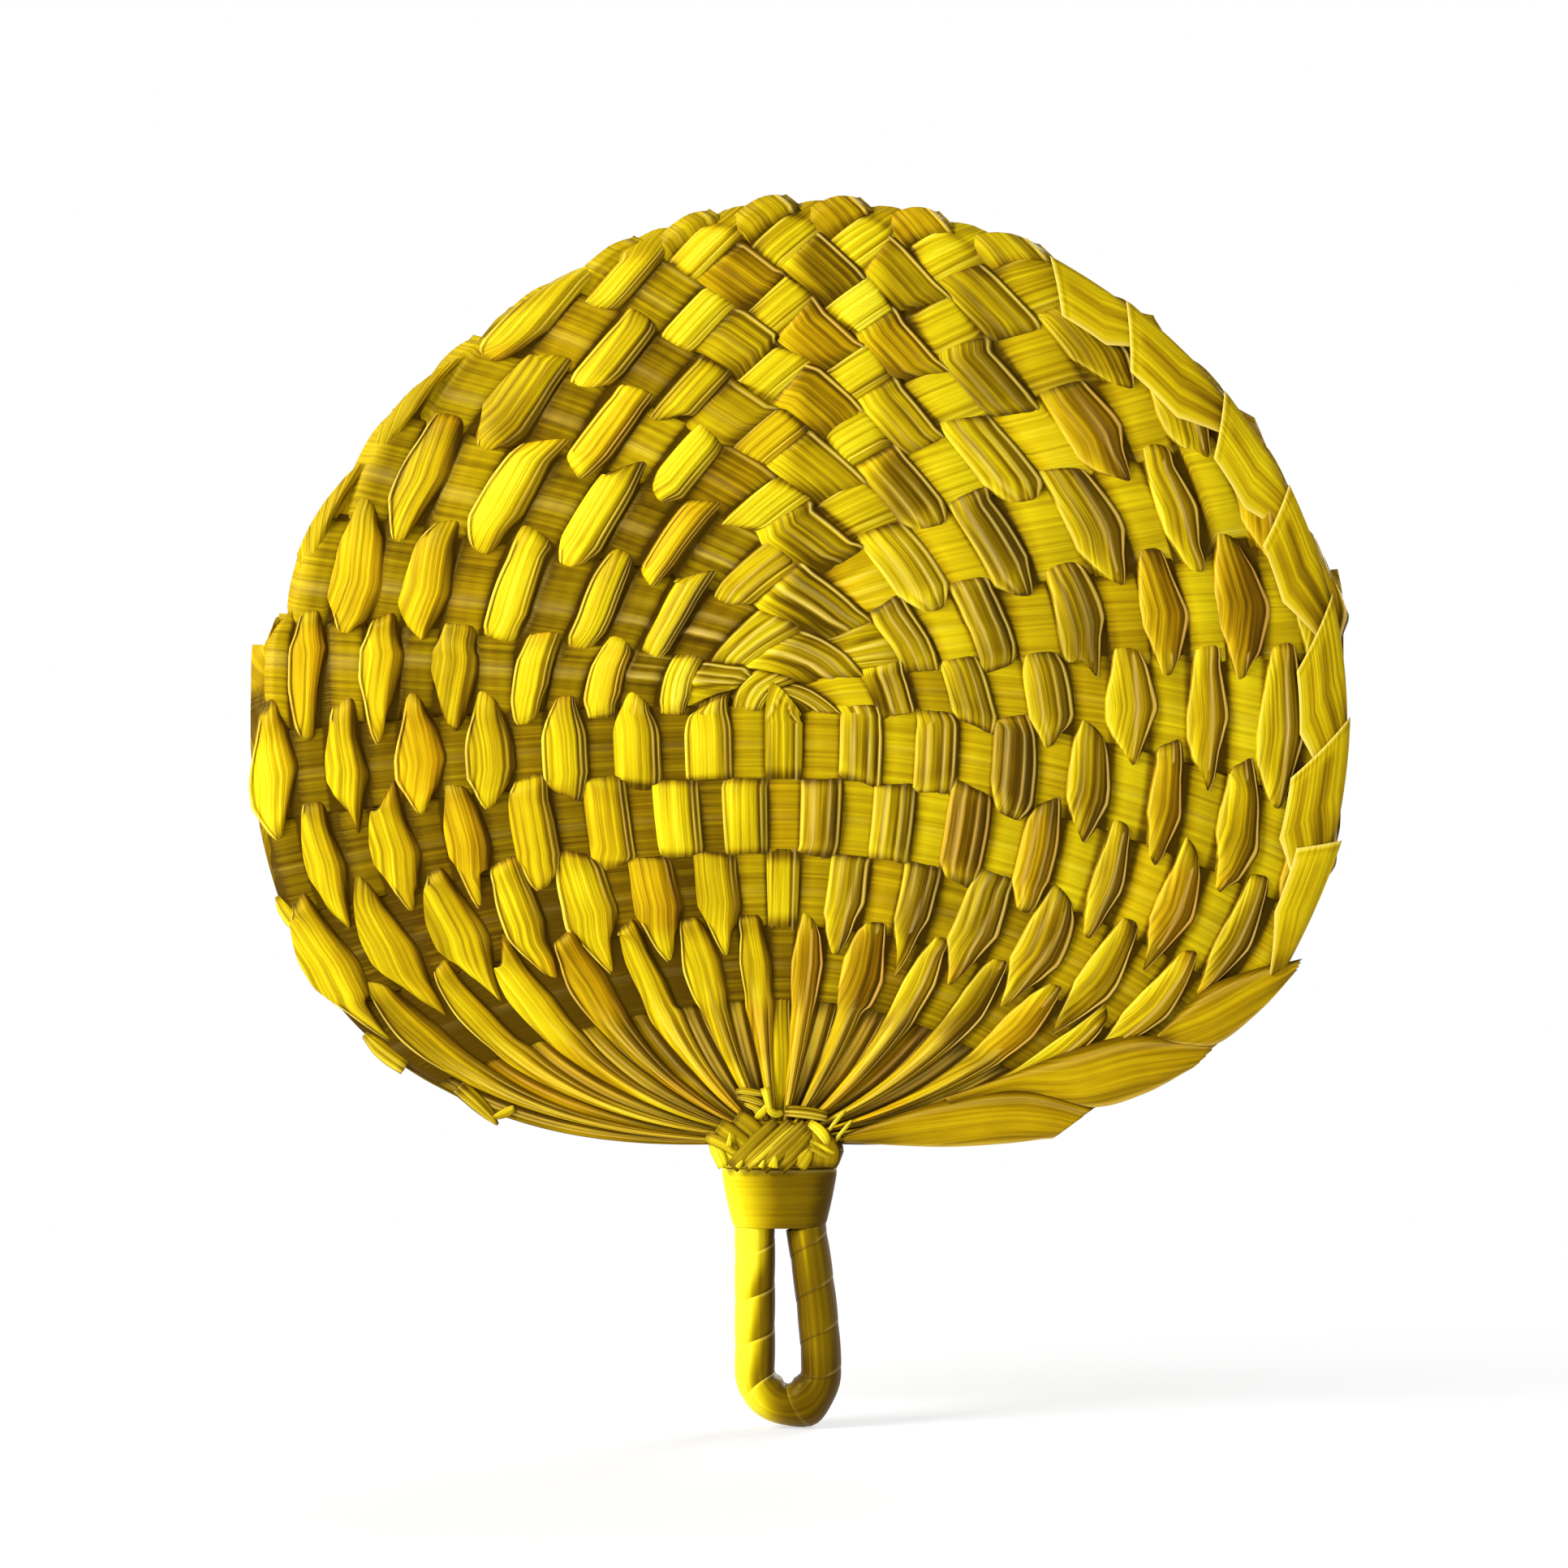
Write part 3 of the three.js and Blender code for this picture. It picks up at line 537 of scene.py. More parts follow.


# pale (plus) and dark (minus) lines along a folded strip, painted highlight on the fold lips and painted shadow in the
# grooves and gaps: strength, place across, half width
lineLook = {
    -1: dict(
        square=((1, -0.92, 0.05), (-1.2, -1, 0.05), (-1.4, 0.58, 0.045), (0.5, 0.68, 0.05), (-1.2, 1, 0.05)),
        near=((-1.3, 0.58, 0.045), (0.9, 0.68, 0.05), (-1.2, 0.8, 0.045), (0.9, 0.9, 0.045), (-1.4, 1, 0.05)),
        nearSliver=((1, -0.92, 0.05), (-1.6, -0.82, 0.05)),
        away=((-1.5, 1, 0.1),),
        awaySliver=((1.2, -0.93, 0.05), (-1.8, -0.82, 0.06)),
        broad=((-1.2, -1, 0.08), (0.3, 0.9, 0.05)),
    ),
    1: dict(
        square=((1.5, 0.86, 0.05), (-1.3, 0.74, 0.045), (-1.8, 1, 0.06)),
        near=(
            (1.6, 0.84, 0.06), (-1.4, 0.7, 0.05), (-1.8, 1, 0.07), (0.6, -0.9, 0.08),
            (-1.2, 0.2, 0.06), (1.2, 0.34, 0.06), (0.8, -0.4, 0.06), (-0.9, -0.52, 0.05),
        ),
        nearSliver=(),
        away=((1.9, 0.86, 0.07), (-1.8, 1, 0.06), (-1, 0.72, 0.05), (0.8, -0.9, 0.07), (-1.2, -1, 0.05)),
        awaySliver=((1.1, 0.22, 0.05), (-1.4, 0.1, 0.05)),
        broad=((-1, -1, 0.06), (-0.8, 1, 0.06), (-0.6, -0.3, 0.06), (0.4, -0.16, 0.08), (-0.5, 0.48, 0.05)),
    ),
    "slits": ((1.5, -0.24, 0.09), (-2.2, -0.38, 0.08), (1.5, 0.26, 0.09), (-2.2, 0.12, 0.08)),
    "roots": ((1, -0.05, 0.06), (-1, -1, 0.08), (-1.2, 1, 0.08), (-1.1, 0.48, 0.05), (1, 0.6, 0.05)),
    "splits": ((0.9, -0.42, 0.05), (-1.4, -0.55, 0.05)),
}


def linesOf(side, c, sliver, far, split):
    # lines of square, long and broad floats, of the slits near the start of the plait and of the roots
    t = lineLook[side]
    near = softLines(c, t["near"]) + sliver * softLines(c, t["nearSliver"])
    away = softLines(c, t["away"]) + sliver * softLines(c, t["awaySliver"])
    roots = softLines(c, lineLook["roots"]) + split * softLines(c, lineLook["splits"])
    slits = softLines(c, lineLook["slits"])
    return softLines(c, t["square"]), near + (away - near) * far, softLines(c, t["broad"]), slits, roots


def segmentPiece(side, i):
    # one strip from the neck to the rim; q counts its rows, the wefts come first
    s = segmentLook
    shift = net["weftShift"][side]
    first = int(shift) - s["rowsBelow"]
    rows = np.arange(first, s["rowsAbove"])
    lowestWeft = shift - net["wefts"]
    weave = (i + rows) % 2 == (0 if side < 0 else 1)
    signs = np.where(np.where(rows > shift - 1, weave, (i + shift - rows) % 2 == 1), 1.0, -1.0)
    blade = signs[rows == lowestWeft][0] > 0  # over the lowest weft: stays in front down to the neck
    signs[rows < lowestWeft] = s["bladeLevel"] if blade else s["behindLevel"]
    end = segmentEnd(side, np.array([float(i)]))[0]
    begin = lowestWeft - 0.5 - s["rootReach"] * net["rootRows"]
    q = np.linspace(begin, end, int((end - begin) * s["rowSteps"]))[:, None]
    draws = dice.normal(0, 1, (6, len(rows)))
    swayOf, crownOf, strayOf, toneOf, skewOf, warmOf = (perRow(q, v, first) for v in draws)

    # how square, long (lens), broad or root-like the strip is along its way
    own = np.hypot(*(stripPoint(side, i + 0.5, q) - stripPoint(side, i - 0.5, q)))
    other = np.hypot(*(stripPoint(side, i, q + 0.5) - stripPoint(side, i, np.maximum(q - 0.5, begin))))
    away = np.abs(stripPoint(side, i, q)[0])
    root = easeOver(s["rootAt"], q, lowestWeft)
    lower = easeOver(s["lowerAt"], q, lowestWeft)
    upper = easeOver(s["upperAt"], q, shift)
    lens = easeOver(s["lensAt"], other / own) * (1 - root)
    broad = easeOver(s["broadAt"], other / own) * (1 - root)
    square = (1 - lens - broad) * (1 - root)
    far = easeOver(s["farAt"], away)
    shape = np.maximum(far, lower)
    pointed = lens * np.maximum(np.maximum(easeOver(s["pointedAt"], away), lower), upper)
    woven = q > lowestWeft

    # widths: floats come to a point, blades and the strips behind them keep their own breadth
    a = np.clip(acrossPlaces, -1, 1)
    out = np.clip((np.abs(acrossPlaces) - 1) / flangeReach, 0, 1)
    d = floatPlace(q, rows, np.where(rows < lowestWeft, -1, signs))
    tip = s["tip"] + s["lowerTip"] * lower
    slimSquare, slimNear, slimFar = s["slim"][side]
    below = s["belowSlim"][side]
    slim = slimSquare * square + (slimNear + (slimFar - slimNear) * far) * lens + broad
    slim = below + upper * (slim - below)
    swell = (1 + (s["lowerWide"] - 1) * lower) * (1 + s["sway"] * swayOf)
    share = np.where(acrossPlaces < 0, *(floatWidth(d, edge, tip, shape) for edge in (-1, 1))) * swell
    share = slim * (1 + pointed * woven * (share - 1))
    towards = ease(lowestWeft + s["towardsAt"], begin, q)
    grown = s["behindWide"] * (1 + s["behindSpread"] * towards)
    if blade:  # as broad as the lowest float, then narrower towards the neck
        grown = s["bladeWide"] * (1 - s["bladeNarrow"] * towards)
        grown = grown + (below * swell - grown) * ease(lowestWeft - s["bladeEase"], lowestWeft, q)
    share = share + np.maximum(root, lower * ~woven) * (grown - share[:, [s["midColumn"]]])
    width = (share * (1 - out) + np.maximum(s["flange"], share) * out) * (1 - s["rootNarrow"] * root)
    u = i + side * (a * width / 2 + s["stray"] * strayOf * (1 - root))  # plus is the right-hand edge on both sides
    follow = s["follow"][side] * easeOver(s["followAt"], q, end) * (segmentEnd(side, u[-1]) - end)
    skew = s["skew"] * skewOf * (1 - root) * easeOver(s["skewAt"], q, end) * a
    blunt = s["blunt"] * easeOver(s["bluntAt"], q, end) * (s["bluntMiddle"] - np.abs(a) ** 3)
    x, y = stripPoint(side, u, np.maximum(q + follow + skew + blunt, begin))

    # heights: over and under, crowned floats, folded lines, roots drawn together at the neck
    plain = waveOf(q, signs, first)
    plain = np.sign(plain) * np.abs(plain) ** s["fullness"]
    reach = np.abs(d) - np.where(d < 0, tip - s["tip"], 0)
    long = 1 - 2 * ease(s["floatFrom"], s["floatTo"], reach)  # reaches over the next rows
    wave = plain + (long - plain) * np.maximum(pointed, upper * square * (side > 0)) * woven
    over = np.maximum(wave, 0)
    lift = s["lift"] + (s["lensLift"] - s["lift"]) * lens + (s["flatLift"] - s["lift"]) * broad
    crown = own * (s["crown"] + (s["lensCrown"] - s["crown"]) * lens) * (1 + s["crownSpread"] * crownOf)
    crown = crown * (s["crownLow"] + (1 - s["crownLow"]) * over ** s["crownPower"]) * (1 - root)
    slit = ease(s["slitTo"], s["slitFrom"], np.hypot(x, y + s["slitDown"])) * (q > shift + s["slitRow"]) * (1 - root)
    kinds = (square, lens, broad, slit, root)
    sliver = (skewOf > s["sliverFrom"]) * 1.0
    edge = sum(k * v for k, v in zip(kinds, linesOf(side, a, sliver, shape, i % 3 > 0)))
    fold = np.maximum(s["foldLow"] + (1 - s["foldLow"]) * over, root)
    front = lift * wave + crown * hillOf(a, -1, s["crest"], 1) + s["tilt"][side] * square * over * a
    ridge = root * own * (s["ridge"] if blade else s["behindRidge"]) * (1 - np.abs(a) ** s["ridgePower"])
    front = front + fold * relief(s, edge) + ridge
    front = np.where(out > 0, np.minimum(s["flangeAt"][side], lift * wave - s["flangeUnder"]), front)
    gather = s["gather"] * ease((begin + lowestWeft) / 2, begin, q) * (1 if blade else -1)
    front = front + gather - s["tuck"] * easeOver(s["tuckAt"], q, end) ** 2

    # shades: painted light and shade on the floats, painted shade in the hollows under the neighbours, warmer strips
    shades = shadeOf(side, np.clip(2 * d, -1, 1), a, shape)
    # blades in front are paler and the strips behind them darker, and each blade's right face is darker: painted light
    # and shade
    rootTone = (s["bladeTone"] if blade else s["behindTone"]) - s["rootTone"] * easeOver(s["rootToneAt"], a)
    toneAndShade = sum(k * v for k, v in zip(kinds, shades)) + s["toneSpread"] * toneOf + root * rootTone
    tail = easeOver(s["tailAt"], q, end)
    hollowShade = (1 - easeOver(s["hollowAt"], wave)) * (1 - root * (1.0 if blade else s["behindHollow"]))
    warm = s["warm"] * np.clip(warmOf, 0, s["warmMost"]) * (1 - s["broadWarm"] * broad) + s["rootWarm"] * root
    values = dict(
        toneAndShade=toneAndShade + tail * (s["tailTone"] - toneAndShade),
        # the flange is fully dark: painted shade between the strips
        hollowShade=np.maximum(hollowShade, out > 0) * (1 - tail),
        edge=fold * edge * (out == 0),
        calm=s["calm"] * broad,
        # long floats turn warmer over their right part, part of their painted shade
        warm=warm + s["lensWarm"] * lens * shape * easeOver(s["lensWarmAt"], a),
    )
    if side < 0:
        x, y, front = (v[:, ::-1] for v in (x, y, front))
        values = {k: v[:, ::-1] for k, v in values.items()}
    node = ("left" if side < 0 else "right") + "_segment_%02d" % i
    leafPiece(node, x, y, front, s["thick"], values, leafFinish)


for side in (-1, 1):
    for i in range(1, net["perSide"] + 1):
        segmentPiece(side, i)
print("leaf segments woven:", 2 * net["perSide"])

# weft strips across the lower blade, and the middle segment's turned end, which is plaited like one
# the wefts' shades are painted shade: darker on the left, for the lower wefts and at one end of each float, with dark
# rims
weftLook = dict(
    rowSteps=18, thick=0.3, cover=1.0, overhang=0.6, turnFrom=0.55, turnRow=0.02, turnHalf=0.52,
    lift=0.45, crown=0.5, crownLow=0.3, slope=0.25, tuck=1.4, tuckFrom=0.1,
    toneAndShade=0.35, toneSpread=0.3, depthShades=(0.1, 0.0, -0.6, -1.1), turnShade=0.2, leftTone=-1.5, leftAt=(10, -40),
    endTone=0.8, endAt=(-0.1, -1.0), hollowAt=(-0.1, 0.5), warm=0.16, warmMost=1.5,
    rimLines=((-0.7, 1, 0.07),), lines=((-0.5, -0.25, 0.06), (0.4, -0.1, 0.08)),
)


def weftPiece(node, line, firstRow, w, span, depth):
    # a strip across the segments: rows are the segments, minus for the left ones; line gives its place
    s = weftLook
    last = net["perSide"]
    rows = np.arange(firstRow - 1, last + 2)
    signs = np.where((np.abs(rows) + w) % 2 == 0, 1.0, -1.0)
    q = np.linspace(span[0], span[1], int((span[1] - span[0]) * s["rowSteps"]))[:, None]
    toneOf, slopeOf, warmOf = (perRow(q, v, rows[0]) for v in dice.normal(0, 1, (3, len(rows))))
    c = inner
    x, y = line(q, c)
    wave = waveOf(q, signs, rows[0])
    over = np.maximum(wave, 0)
    crown = s["crown"] * (s["crownLow"] + (1 - s["crownLow"]) * over) * (1 - c**2)
    tuck = s["tuck"] * ease(last + s["tuckFrom"], last + s["overhang"], np.abs(q)) ** 2
    front = s["lift"] * wave + crown + s["slope"] * slopeOf * over * c - tuck
    # the depth argument is no height but painted shade for the lower wefts, which lie deep between the blades; the
    # left half and one end of each float are darker too, painted shade
    toneAndShade = s["toneSpread"] * toneOf + s["toneAndShade"] + depth + s["leftTone"] * easeOver(s["leftAt"], x)
    values = dict(
        toneAndShade=toneAndShade - s["endTone"] * easeOver(s["endAt"], 2 * floatPlace(q, rows, signs)),
        hollowShade=1 - easeOver(s["hollowAt"], wave),
        edge=softLines(np.abs(c), s["rimLines"]) + softLines(c, s["lines"]),
        warm=s["warm"] * np.clip(warmOf, 0, s["warmMost"]),
    )
    leafPiece(node, x, y, front, s["thick"], values, weftFinish)


def weftLine(w):
    def line(q, c):
        u = np.abs(q) + 0 * c
        ww = w + c * weftLook["cover"] / 2 + 0 * u
        return np.where(q < 0, lowerPoint(-1, u, ww), lowerPoint(1, u, ww))
    return line


def turnedLine(q, c):
    # row 0 of the right segments
    return stripPoint(1, q + 0 * c, weftLook["turnRow"] - c * weftLook["turnHalf"] + 0 * q)


reach = net["perSide"] + weftLook["overhang"]
for w in range(1, net["wefts"] + 1):
    weftPiece("weft_%d" % w, weftLine(w), -net["perSide"], w, (-reach, reach), weftLook["depthShades"][w - 1])
weftPiece("middle_turn", turnedLine, 0, 0, (weftLook["turnFrom"], reach), weftLook["turnShade"])

middleLook = dict(
    rowSteps=18, thick=0.3, cover=1.0, spread=2.2, rootReach=1.07, top=0.75, lift=0.75, crown=0.5, ridge=1.5,
    rootAt=(-0.7, 0.9), turnSteps=24, turnHeight=13.0, turnFall=10.0, turnPower=1.5, turnNarrow=0.55,
    turnRight=4.5, turnLeft=1.5, turnLift=0.9, vee=((1.3, 0.95, 0.1), (-1.69, 0.72, 0.1)), veeAt=(0.05, 0.3),
    stripes=((0.8, 0.7, 0.06), (-1, 0.56, 0.05)), raised=0.2, sunk=0.3, toneAndShade=0.3, dark=1.0, darkAt=(0.3, 0.9),
    hollowAt=(-0.05, 0.6),
)


def middlePiece():
    # up the middle over and under the wefts, then folded over to the right at the start of the plait
    s = middleLook
    last = net["wefts"] + 0.5
    steps = int((last + net["rootRows"]) * s["rowSteps"])
    w = np.linspace(last + s["rootReach"] * net["rootRows"], s["top"], steps)[:, None]
    rows = np.arange(-8, 3)
    signs = np.where((1 - rows) % 2 == 1, 1.0, -1.0)
    signs[rows < 1 - net["wefts"]] = 0.0
    signs[rows >= 1] = 1.0
    c = inner
    half = np.abs(c) * s["cover"] / 2 * (1 + s["spread"] * ease(last, last + net["rootRows"], w))
    ww = w + 0 * half
    x, y = np.where(c < 0, lowerPoint(-1, half, ww), lowerPoint(1, half, ww))
    up = np.linspace(0, 1, s["turnSteps"])[1:, None]
    right = (1 + c) / 2
    bent = up ** s["turnPower"]
    topX = x[-1] * (1 - s["turnNarrow"] * bent) + s["turnRight"] * right * up**2 - s["turnLeft"] * up
    topY = y[-1] + up * (s["turnHeight"] - s["turnFall"] * right ** s["turnPower"])
    x, y = np.concatenate([x, topX]), np.concatenate([y, topY])
    wave = np.concatenate([waveOf(1 - w, signs, rows[0]), np.ones_like(up)])
    root = np.concatenate([easeOver(s["rootAt"], w, last), 0 * up])
    fold = np.concatenate([0 * w, up])
    vee = softLines(np.abs(c), [(strength, at * (1 - fold), wide) for strength, at, wide in s["vee"]])
    lines = np.where(fold > 0, vee * easeOver(s["veeAt"], fold), softLines(np.abs(c), s["stripes"]))
    front = s["lift"] * wave + s["crown"] * (1 - c**2) * (1 - root) + s["ridge"] * (1 - np.abs(c)) * root
    front = front + s["turnLift"] * fold + relief(s, lines)
    # painted light and shade: darker towards the right edge, painted shade in the hollows where it dives under the
    # wefts; the fold and stripe lines carry painted highlight and shadow
    values = dict(
        toneAndShade=s["toneAndShade"] - s["dark"] * easeOver(s["darkAt"], c),
        hollowShade=(1 - easeOver(s["hollowAt"], wave)) * (1 - root),
        edge=lines,
    )
    leafPiece("middle_segment", x, y, front, s["thick"], values, leafFinish)


middlePiece()
print("wefts and middle segment laid:", net["wefts"] + 2)


# turned-back leaf ends along the right rim, each a slanted flap whose start lies over the end of the one above
bindingLook = dict(
    rows=44, thick=0.4, starts=(63.2, 53.9, 39.7, 27.4, 14.7, 1.1, -12.4), longs=(34, 43, 39, 40, 42, 42, 44),
    slants=(13, 16, 16, 15, 24, 22, 6), wides=(14, 16, 15, 15, 15, 17, 11), out=(0.8, 0.8, 0.8, 0.8, 0.8, 0.8, 2.2),
    pointLeast=0.3, pointSlope=1.5, base=3.0, shingle=1.3, ridge=0.9, crease=0.32, bend=0.25, bendWaves=3.1,
    toneAndShade=0.45, rimTone=0.5, rimAt=(0.3, 0.0), dark=(1.0, 1.5, 1.1, 1.7, 1.2, 1.5, 0.8),
    streak=(1, 0.36, 0.13), streakTurn=0.1, second=(0.7, 0.74, 0.09), endDark=0.5, endAt=(0.55, 0.9),
    darkFrom=(0.03, 0.2), hollowShade=0.5, hollowAt=(0.8, 1.0), fold=1.4, startFold=(1, 0, 1.1), sideFold=(1, 0, 0.8),
    darkLine=(-0.9, 2.4, 0.7), warm=0.12,
)


def bindingPiece(k):
    # t runs along the rim, c from the rim inwards
    s = bindingLook
    t = np.linspace(0, 1, s["rows"])[:, None]
    c = np.concatenate([np.linspace(0, 0.9, 15), [0.94, 0.97, 1.0]])
    along = s["longs"][k] * t
    angle = math.radians(s["starts"][k]) - (along + s["slants"][k] * c) / net["rimHalf"]
    point = np.minimum(1, s["pointLeast"] + s["pointSlope"] * (1 - t))
    inset = s["wides"][k] * c * point - s["out"][k] * (1 - c) * (1 - t) ** 2
    x = net["rimX"] + (net["rimHalf"] - inset) * np.cos(angle)
    y = net["rimY"] + (net["rimHeight"] - inset) * np.sin(angle)
    bend = s["bend"] * np.sin(s["bendWaves"] * t + k) * c
    front = s["base"] + s["shingle"] * (1 - t) + s["ridge"] * hillOf(c, 0, s["crease"], 1) + bend
    fold = softLines(along, (s["startFold"],)) + softLines((1 - c) * s["wides"][k], (s["sideFold"],))
    # painted shade: a dark streak down each flap, darker towards its end where it lies under the next flap and darker
    # at the rim; pale lines at the folds are painted highlight, with a dark line just past the start fold
    body = softLines(c - s["streakTurn"] * t, (s["streak"],)) + softLines(c, (s["second"],))
    body = (body + s["endDark"] * easeOver(s["endAt"], t)) * easeOver(s["darkFrom"], t)
    values = dict(
        toneAndShade=s["toneAndShade"] - s["rimTone"] * easeOver(s["rimAt"], c) - s["dark"][k] * body,
        hollowShade=s["hollowShade"] * easeOver(s["hollowAt"], t),
        edge=s["fold"] * np.clip(fold, 0, 1) + softLines(along, (s["darkLine"],)),
        warm=s["dark"][k] * s["warm"],
    )
    leafPiece("edge_binding_%d" % (k + 1), x, y, front, s["thick"], values, bindingFinish)


for k in range(len(bindingLook["starts"])):
    bindingPiece(k)
print("edge bindings laid:", len(bindingLook["starts"]))


def curveThrough(points, t):
    # smooth curve through a few points (Catmull-Rom), t from 0 to 1
    p = np.asarray(points, float)
    p = np.concatenate([[2 * p[0] - p[1]], p, [2 * p[-1] - p[-2]]])
    n = len(p) - 3
    k = np.clip((t * n).astype(int), 0, n - 1)
    f = (t * n - k)[:, None]
    a, b, c, d = p[k], p[k + 1], p[k + 2], p[k + 3]
    return 0.5 * (2 * b + (c - a) * f + (2 * a - 5 * b + 4 * c - d) * f**2 + (3 * b - a - 3 * c + d) * f**3)


# broad leaf ends on the lower right, each between an upper and a lower edge (from the start of the plait)
leafEndLook = dict(
    edges=(
        (
            ((18.7, -139.2), (48.2, -129.2), (74.2, -125.5), (96.5, -131.3)),
            ((18.7, -141.8), (48.2, -143.2), (69.4, -142.2), (84.3, -140.4)),
        ),
        (
            ((50.0, -127.6), (69.4, -121.2), (86.0, -114.6), (108.0, -108.8), (135.0, -111.4)),
            ((52.0, -130.4), (72.0, -126.0), (95.2, -131.0), (112.0, -127.0), (128.0, -118.6)),
        ),
        (
            ((116.0, -108.6), (125.0, -100.0), (133.0, -93.2), (147.0, -88.1), (161.4, -85.2)),
            ((117.0, -109.6), (126.0, -111.6), (135.8, -111.0), (149.0, -100.6), (159.4, -89.4)),
        ),
    ),
    rows=56, thick=0.4, base=(3.4, 3.0, 3.0), bulge=(1.3, 1.3, 1.1), fall=0.9,
    ragged=0.5, raggedWaves=23, raggedRise=0.6, ripple=0.18, rippleWaves=17,
    lines=((0.9, 1, 0.04), (-1.44, 0, 0.07), (0.45, 0.16, 0.05)),
    toneAndShade=-0.75, middleTone=0.5, tipTone=0.4, hollowShade=0.5, hollowAt=(0.22, 0.0), warm=0.3,
)


def leafEndPiece(k):
    # t runs from the hidden end to the free one, c from the upper edge to the lower
    s = leafEndLook
    t = np.linspace(0, 1, s["rows"])
    c = np.concatenate([[0, 0.03], np.linspace(0.08, 0.92, 15), [0.97, 1.0]])
    upper, lower = (curveThrough(e, t) for e in s["edges"][k])
    t = t[:, None]
    ragged = s["ragged"] * np.sin(c * s["raggedWaves"] + k) * ease(0.9, 1.0, t)
    x = upper[:, :1] * (1 - c) + lower[:, :1] * c + ragged
    y = upper[:, 1:] * (1 - c) + lower[:, 1:] * c + s["raggedRise"] * ragged
    ripple = s["ripple"] * np.sin(c * s["rippleWaves"] + 2 * k) * ease(0, 0.5, t)
    front = s["base"][k] - s["fall"] * t + s["bulge"][k] * (1 - (2 * c - 1) ** 2) + ripple
    # painted light and shade: paler along the bulging middle, painted shade at the hidden end and a dark line of
    # painted shadow on the upper edge, pale lines of painted highlight; darker towards the free tip
    middle = ease(0.1, 0.5, c) * ease(1.0, 0.6, c)
    values = dict(
        toneAndShade=s["toneAndShade"] + s["middleTone"] * middle - s["tipTone"] * ease(0.55, 1.0, t),
        hollowShade=s["hollowShade"] * easeOver(s["hollowAt"], t),
        edge=softLines(c, s["lines"]),
        warm=s["warm"],
    )
    leafPiece("leaf_end_%d" % (k + 1), x, y, front, s["thick"], values, bindingFinish)


for k in range(len(leafEndLook["edges"])):
    leafEndPiece(k)
print("broad leaf ends laid:", len(leafEndLook["edges"]))


# collar and neck binding: flattened tapering bands with rounded rims
collarLook = dict(
    depth=7.6, wall=0.9, power=2.5, steps=120, rows=30, rim=0.3, rimShare=1 / 14, domeSteps=16, domeTurn=1.5,
    grain=22, grainFrom=40, toneAndShade=1.5, shade=3.0, shadeAt=(-0.95, 0.15), rightShade=0.7, rightAt=(0.5, 0.9),
    topLine=(0.4, 0.97, 0.03),
)


def bandPiece(name, bottom, top, halfBottom, halfTop, swell, node, shoulder=0.0):
    # superellipse rings up the outside, over a domed shoulder where there is one, and down the inside
    s = collarLook
    t = np.linspace(0, 1, s["rows"])
    rim = s["rim"] * softLines(t, ((1, 0, s["rimShare"]), (1, 1, s["rimShare"])))
    half = halfBottom + (halfTop - halfBottom) * t + swell * np.sin(np.pi * t)
    outer = np.stack([bottom + (top - bottom) * t, half, -rim, 0 * t], -1)
    if shoulder:
        turn = np.linspace(0, s["domeTurn"], s["domeSteps"])[1:]
        level = np.ones_like(turn)
        dome = [top + shoulder * np.sin(turn), halfTop * level, -s["rim"] * level, 1 - np.cos(turn)]
        outer = np.concatenate([outer, np.stack(dome, -1)])
    profile = np.concatenate([outer, outer[::-1] + np.array([0.0, 0.0, -s["wall"], 0.0])])
    angle = np.linspace(0, 2 * np.pi, s["steps"], endpoint=False)
    cx, cy = (np.sign(v) * np.abs(v) ** (2 / s["power"]) for v in (np.cos(angle), np.sin(angle)))
    z, half, inset, close = (profile[:, k, None] for k in range(4))
    x = net["neckX"] + (1 - close) * (half + inset) * cx
    y = (1 - close) * (s["depth"] + inset) * cy
    rows, size = x.shape
    i, k = np.meshgrid(np.arange(rows), np.arange(size), indexing="ij")
    j, l = (i + 1) % rows, (k + 1) % size
    faces = np.stack([i * size + k, j * size + k, j * size + l, i * size + l], -1).reshape(-1, 4)
    # painted light and shade: paler on the left, towards the light, darker to the right and darker still on the right
    # side; a pale line near the top
    shade = s["shade"] * easeOver(s["shadeAt"], cx) + s["rightShade"] * easeOver(s["rightAt"], cx)
    topLine = softLines((z - bottom) / (top - bottom), (s["topLine"],))
    grids = dict(toneAndShade=s["toneAndShade"] - shade, hollowShade=0, edge=topLine, along=s["grain"] * angle, across=z + s["grainFrom"])
    flat = {key: np.broadcast_to(v, x.shape).ravel() for key, v in grids.items()}
    points = np.stack([x, y, z + 0 * x], -1).reshape(-1, 3)
    piece = addMesh(name, points, faces, flat.pop("along"), flat.pop("across"), flat, collarFinish)
    fitPiece(piece, [node])


bandPiece("collar_wrap", -9.2, 9.2, 14.4, 18.2, 0.25, "collar_band")
bandPiece("neck_wrap", 9.5, 14.9, 18.2, 20.3, 0.1, "neck_binding", 7.5)
print("collar and neck binding made")

ribbonLook = dict(
    rows=30, columns=17, thick=0.45, thin=0.5, grainRoom=300, dark=0.45, darkAt=(0.1, 0.9), hollowShade=0.5, hollowEnd=0.18,
    stripes=((1, -0.8, 0.14), (-1.4, -0.3, 0.09), (0.9, -0.1, 0.1), (-1.6, 0.42, 0.09)), rimLines=((-1.6, 1, 0.12),),
)


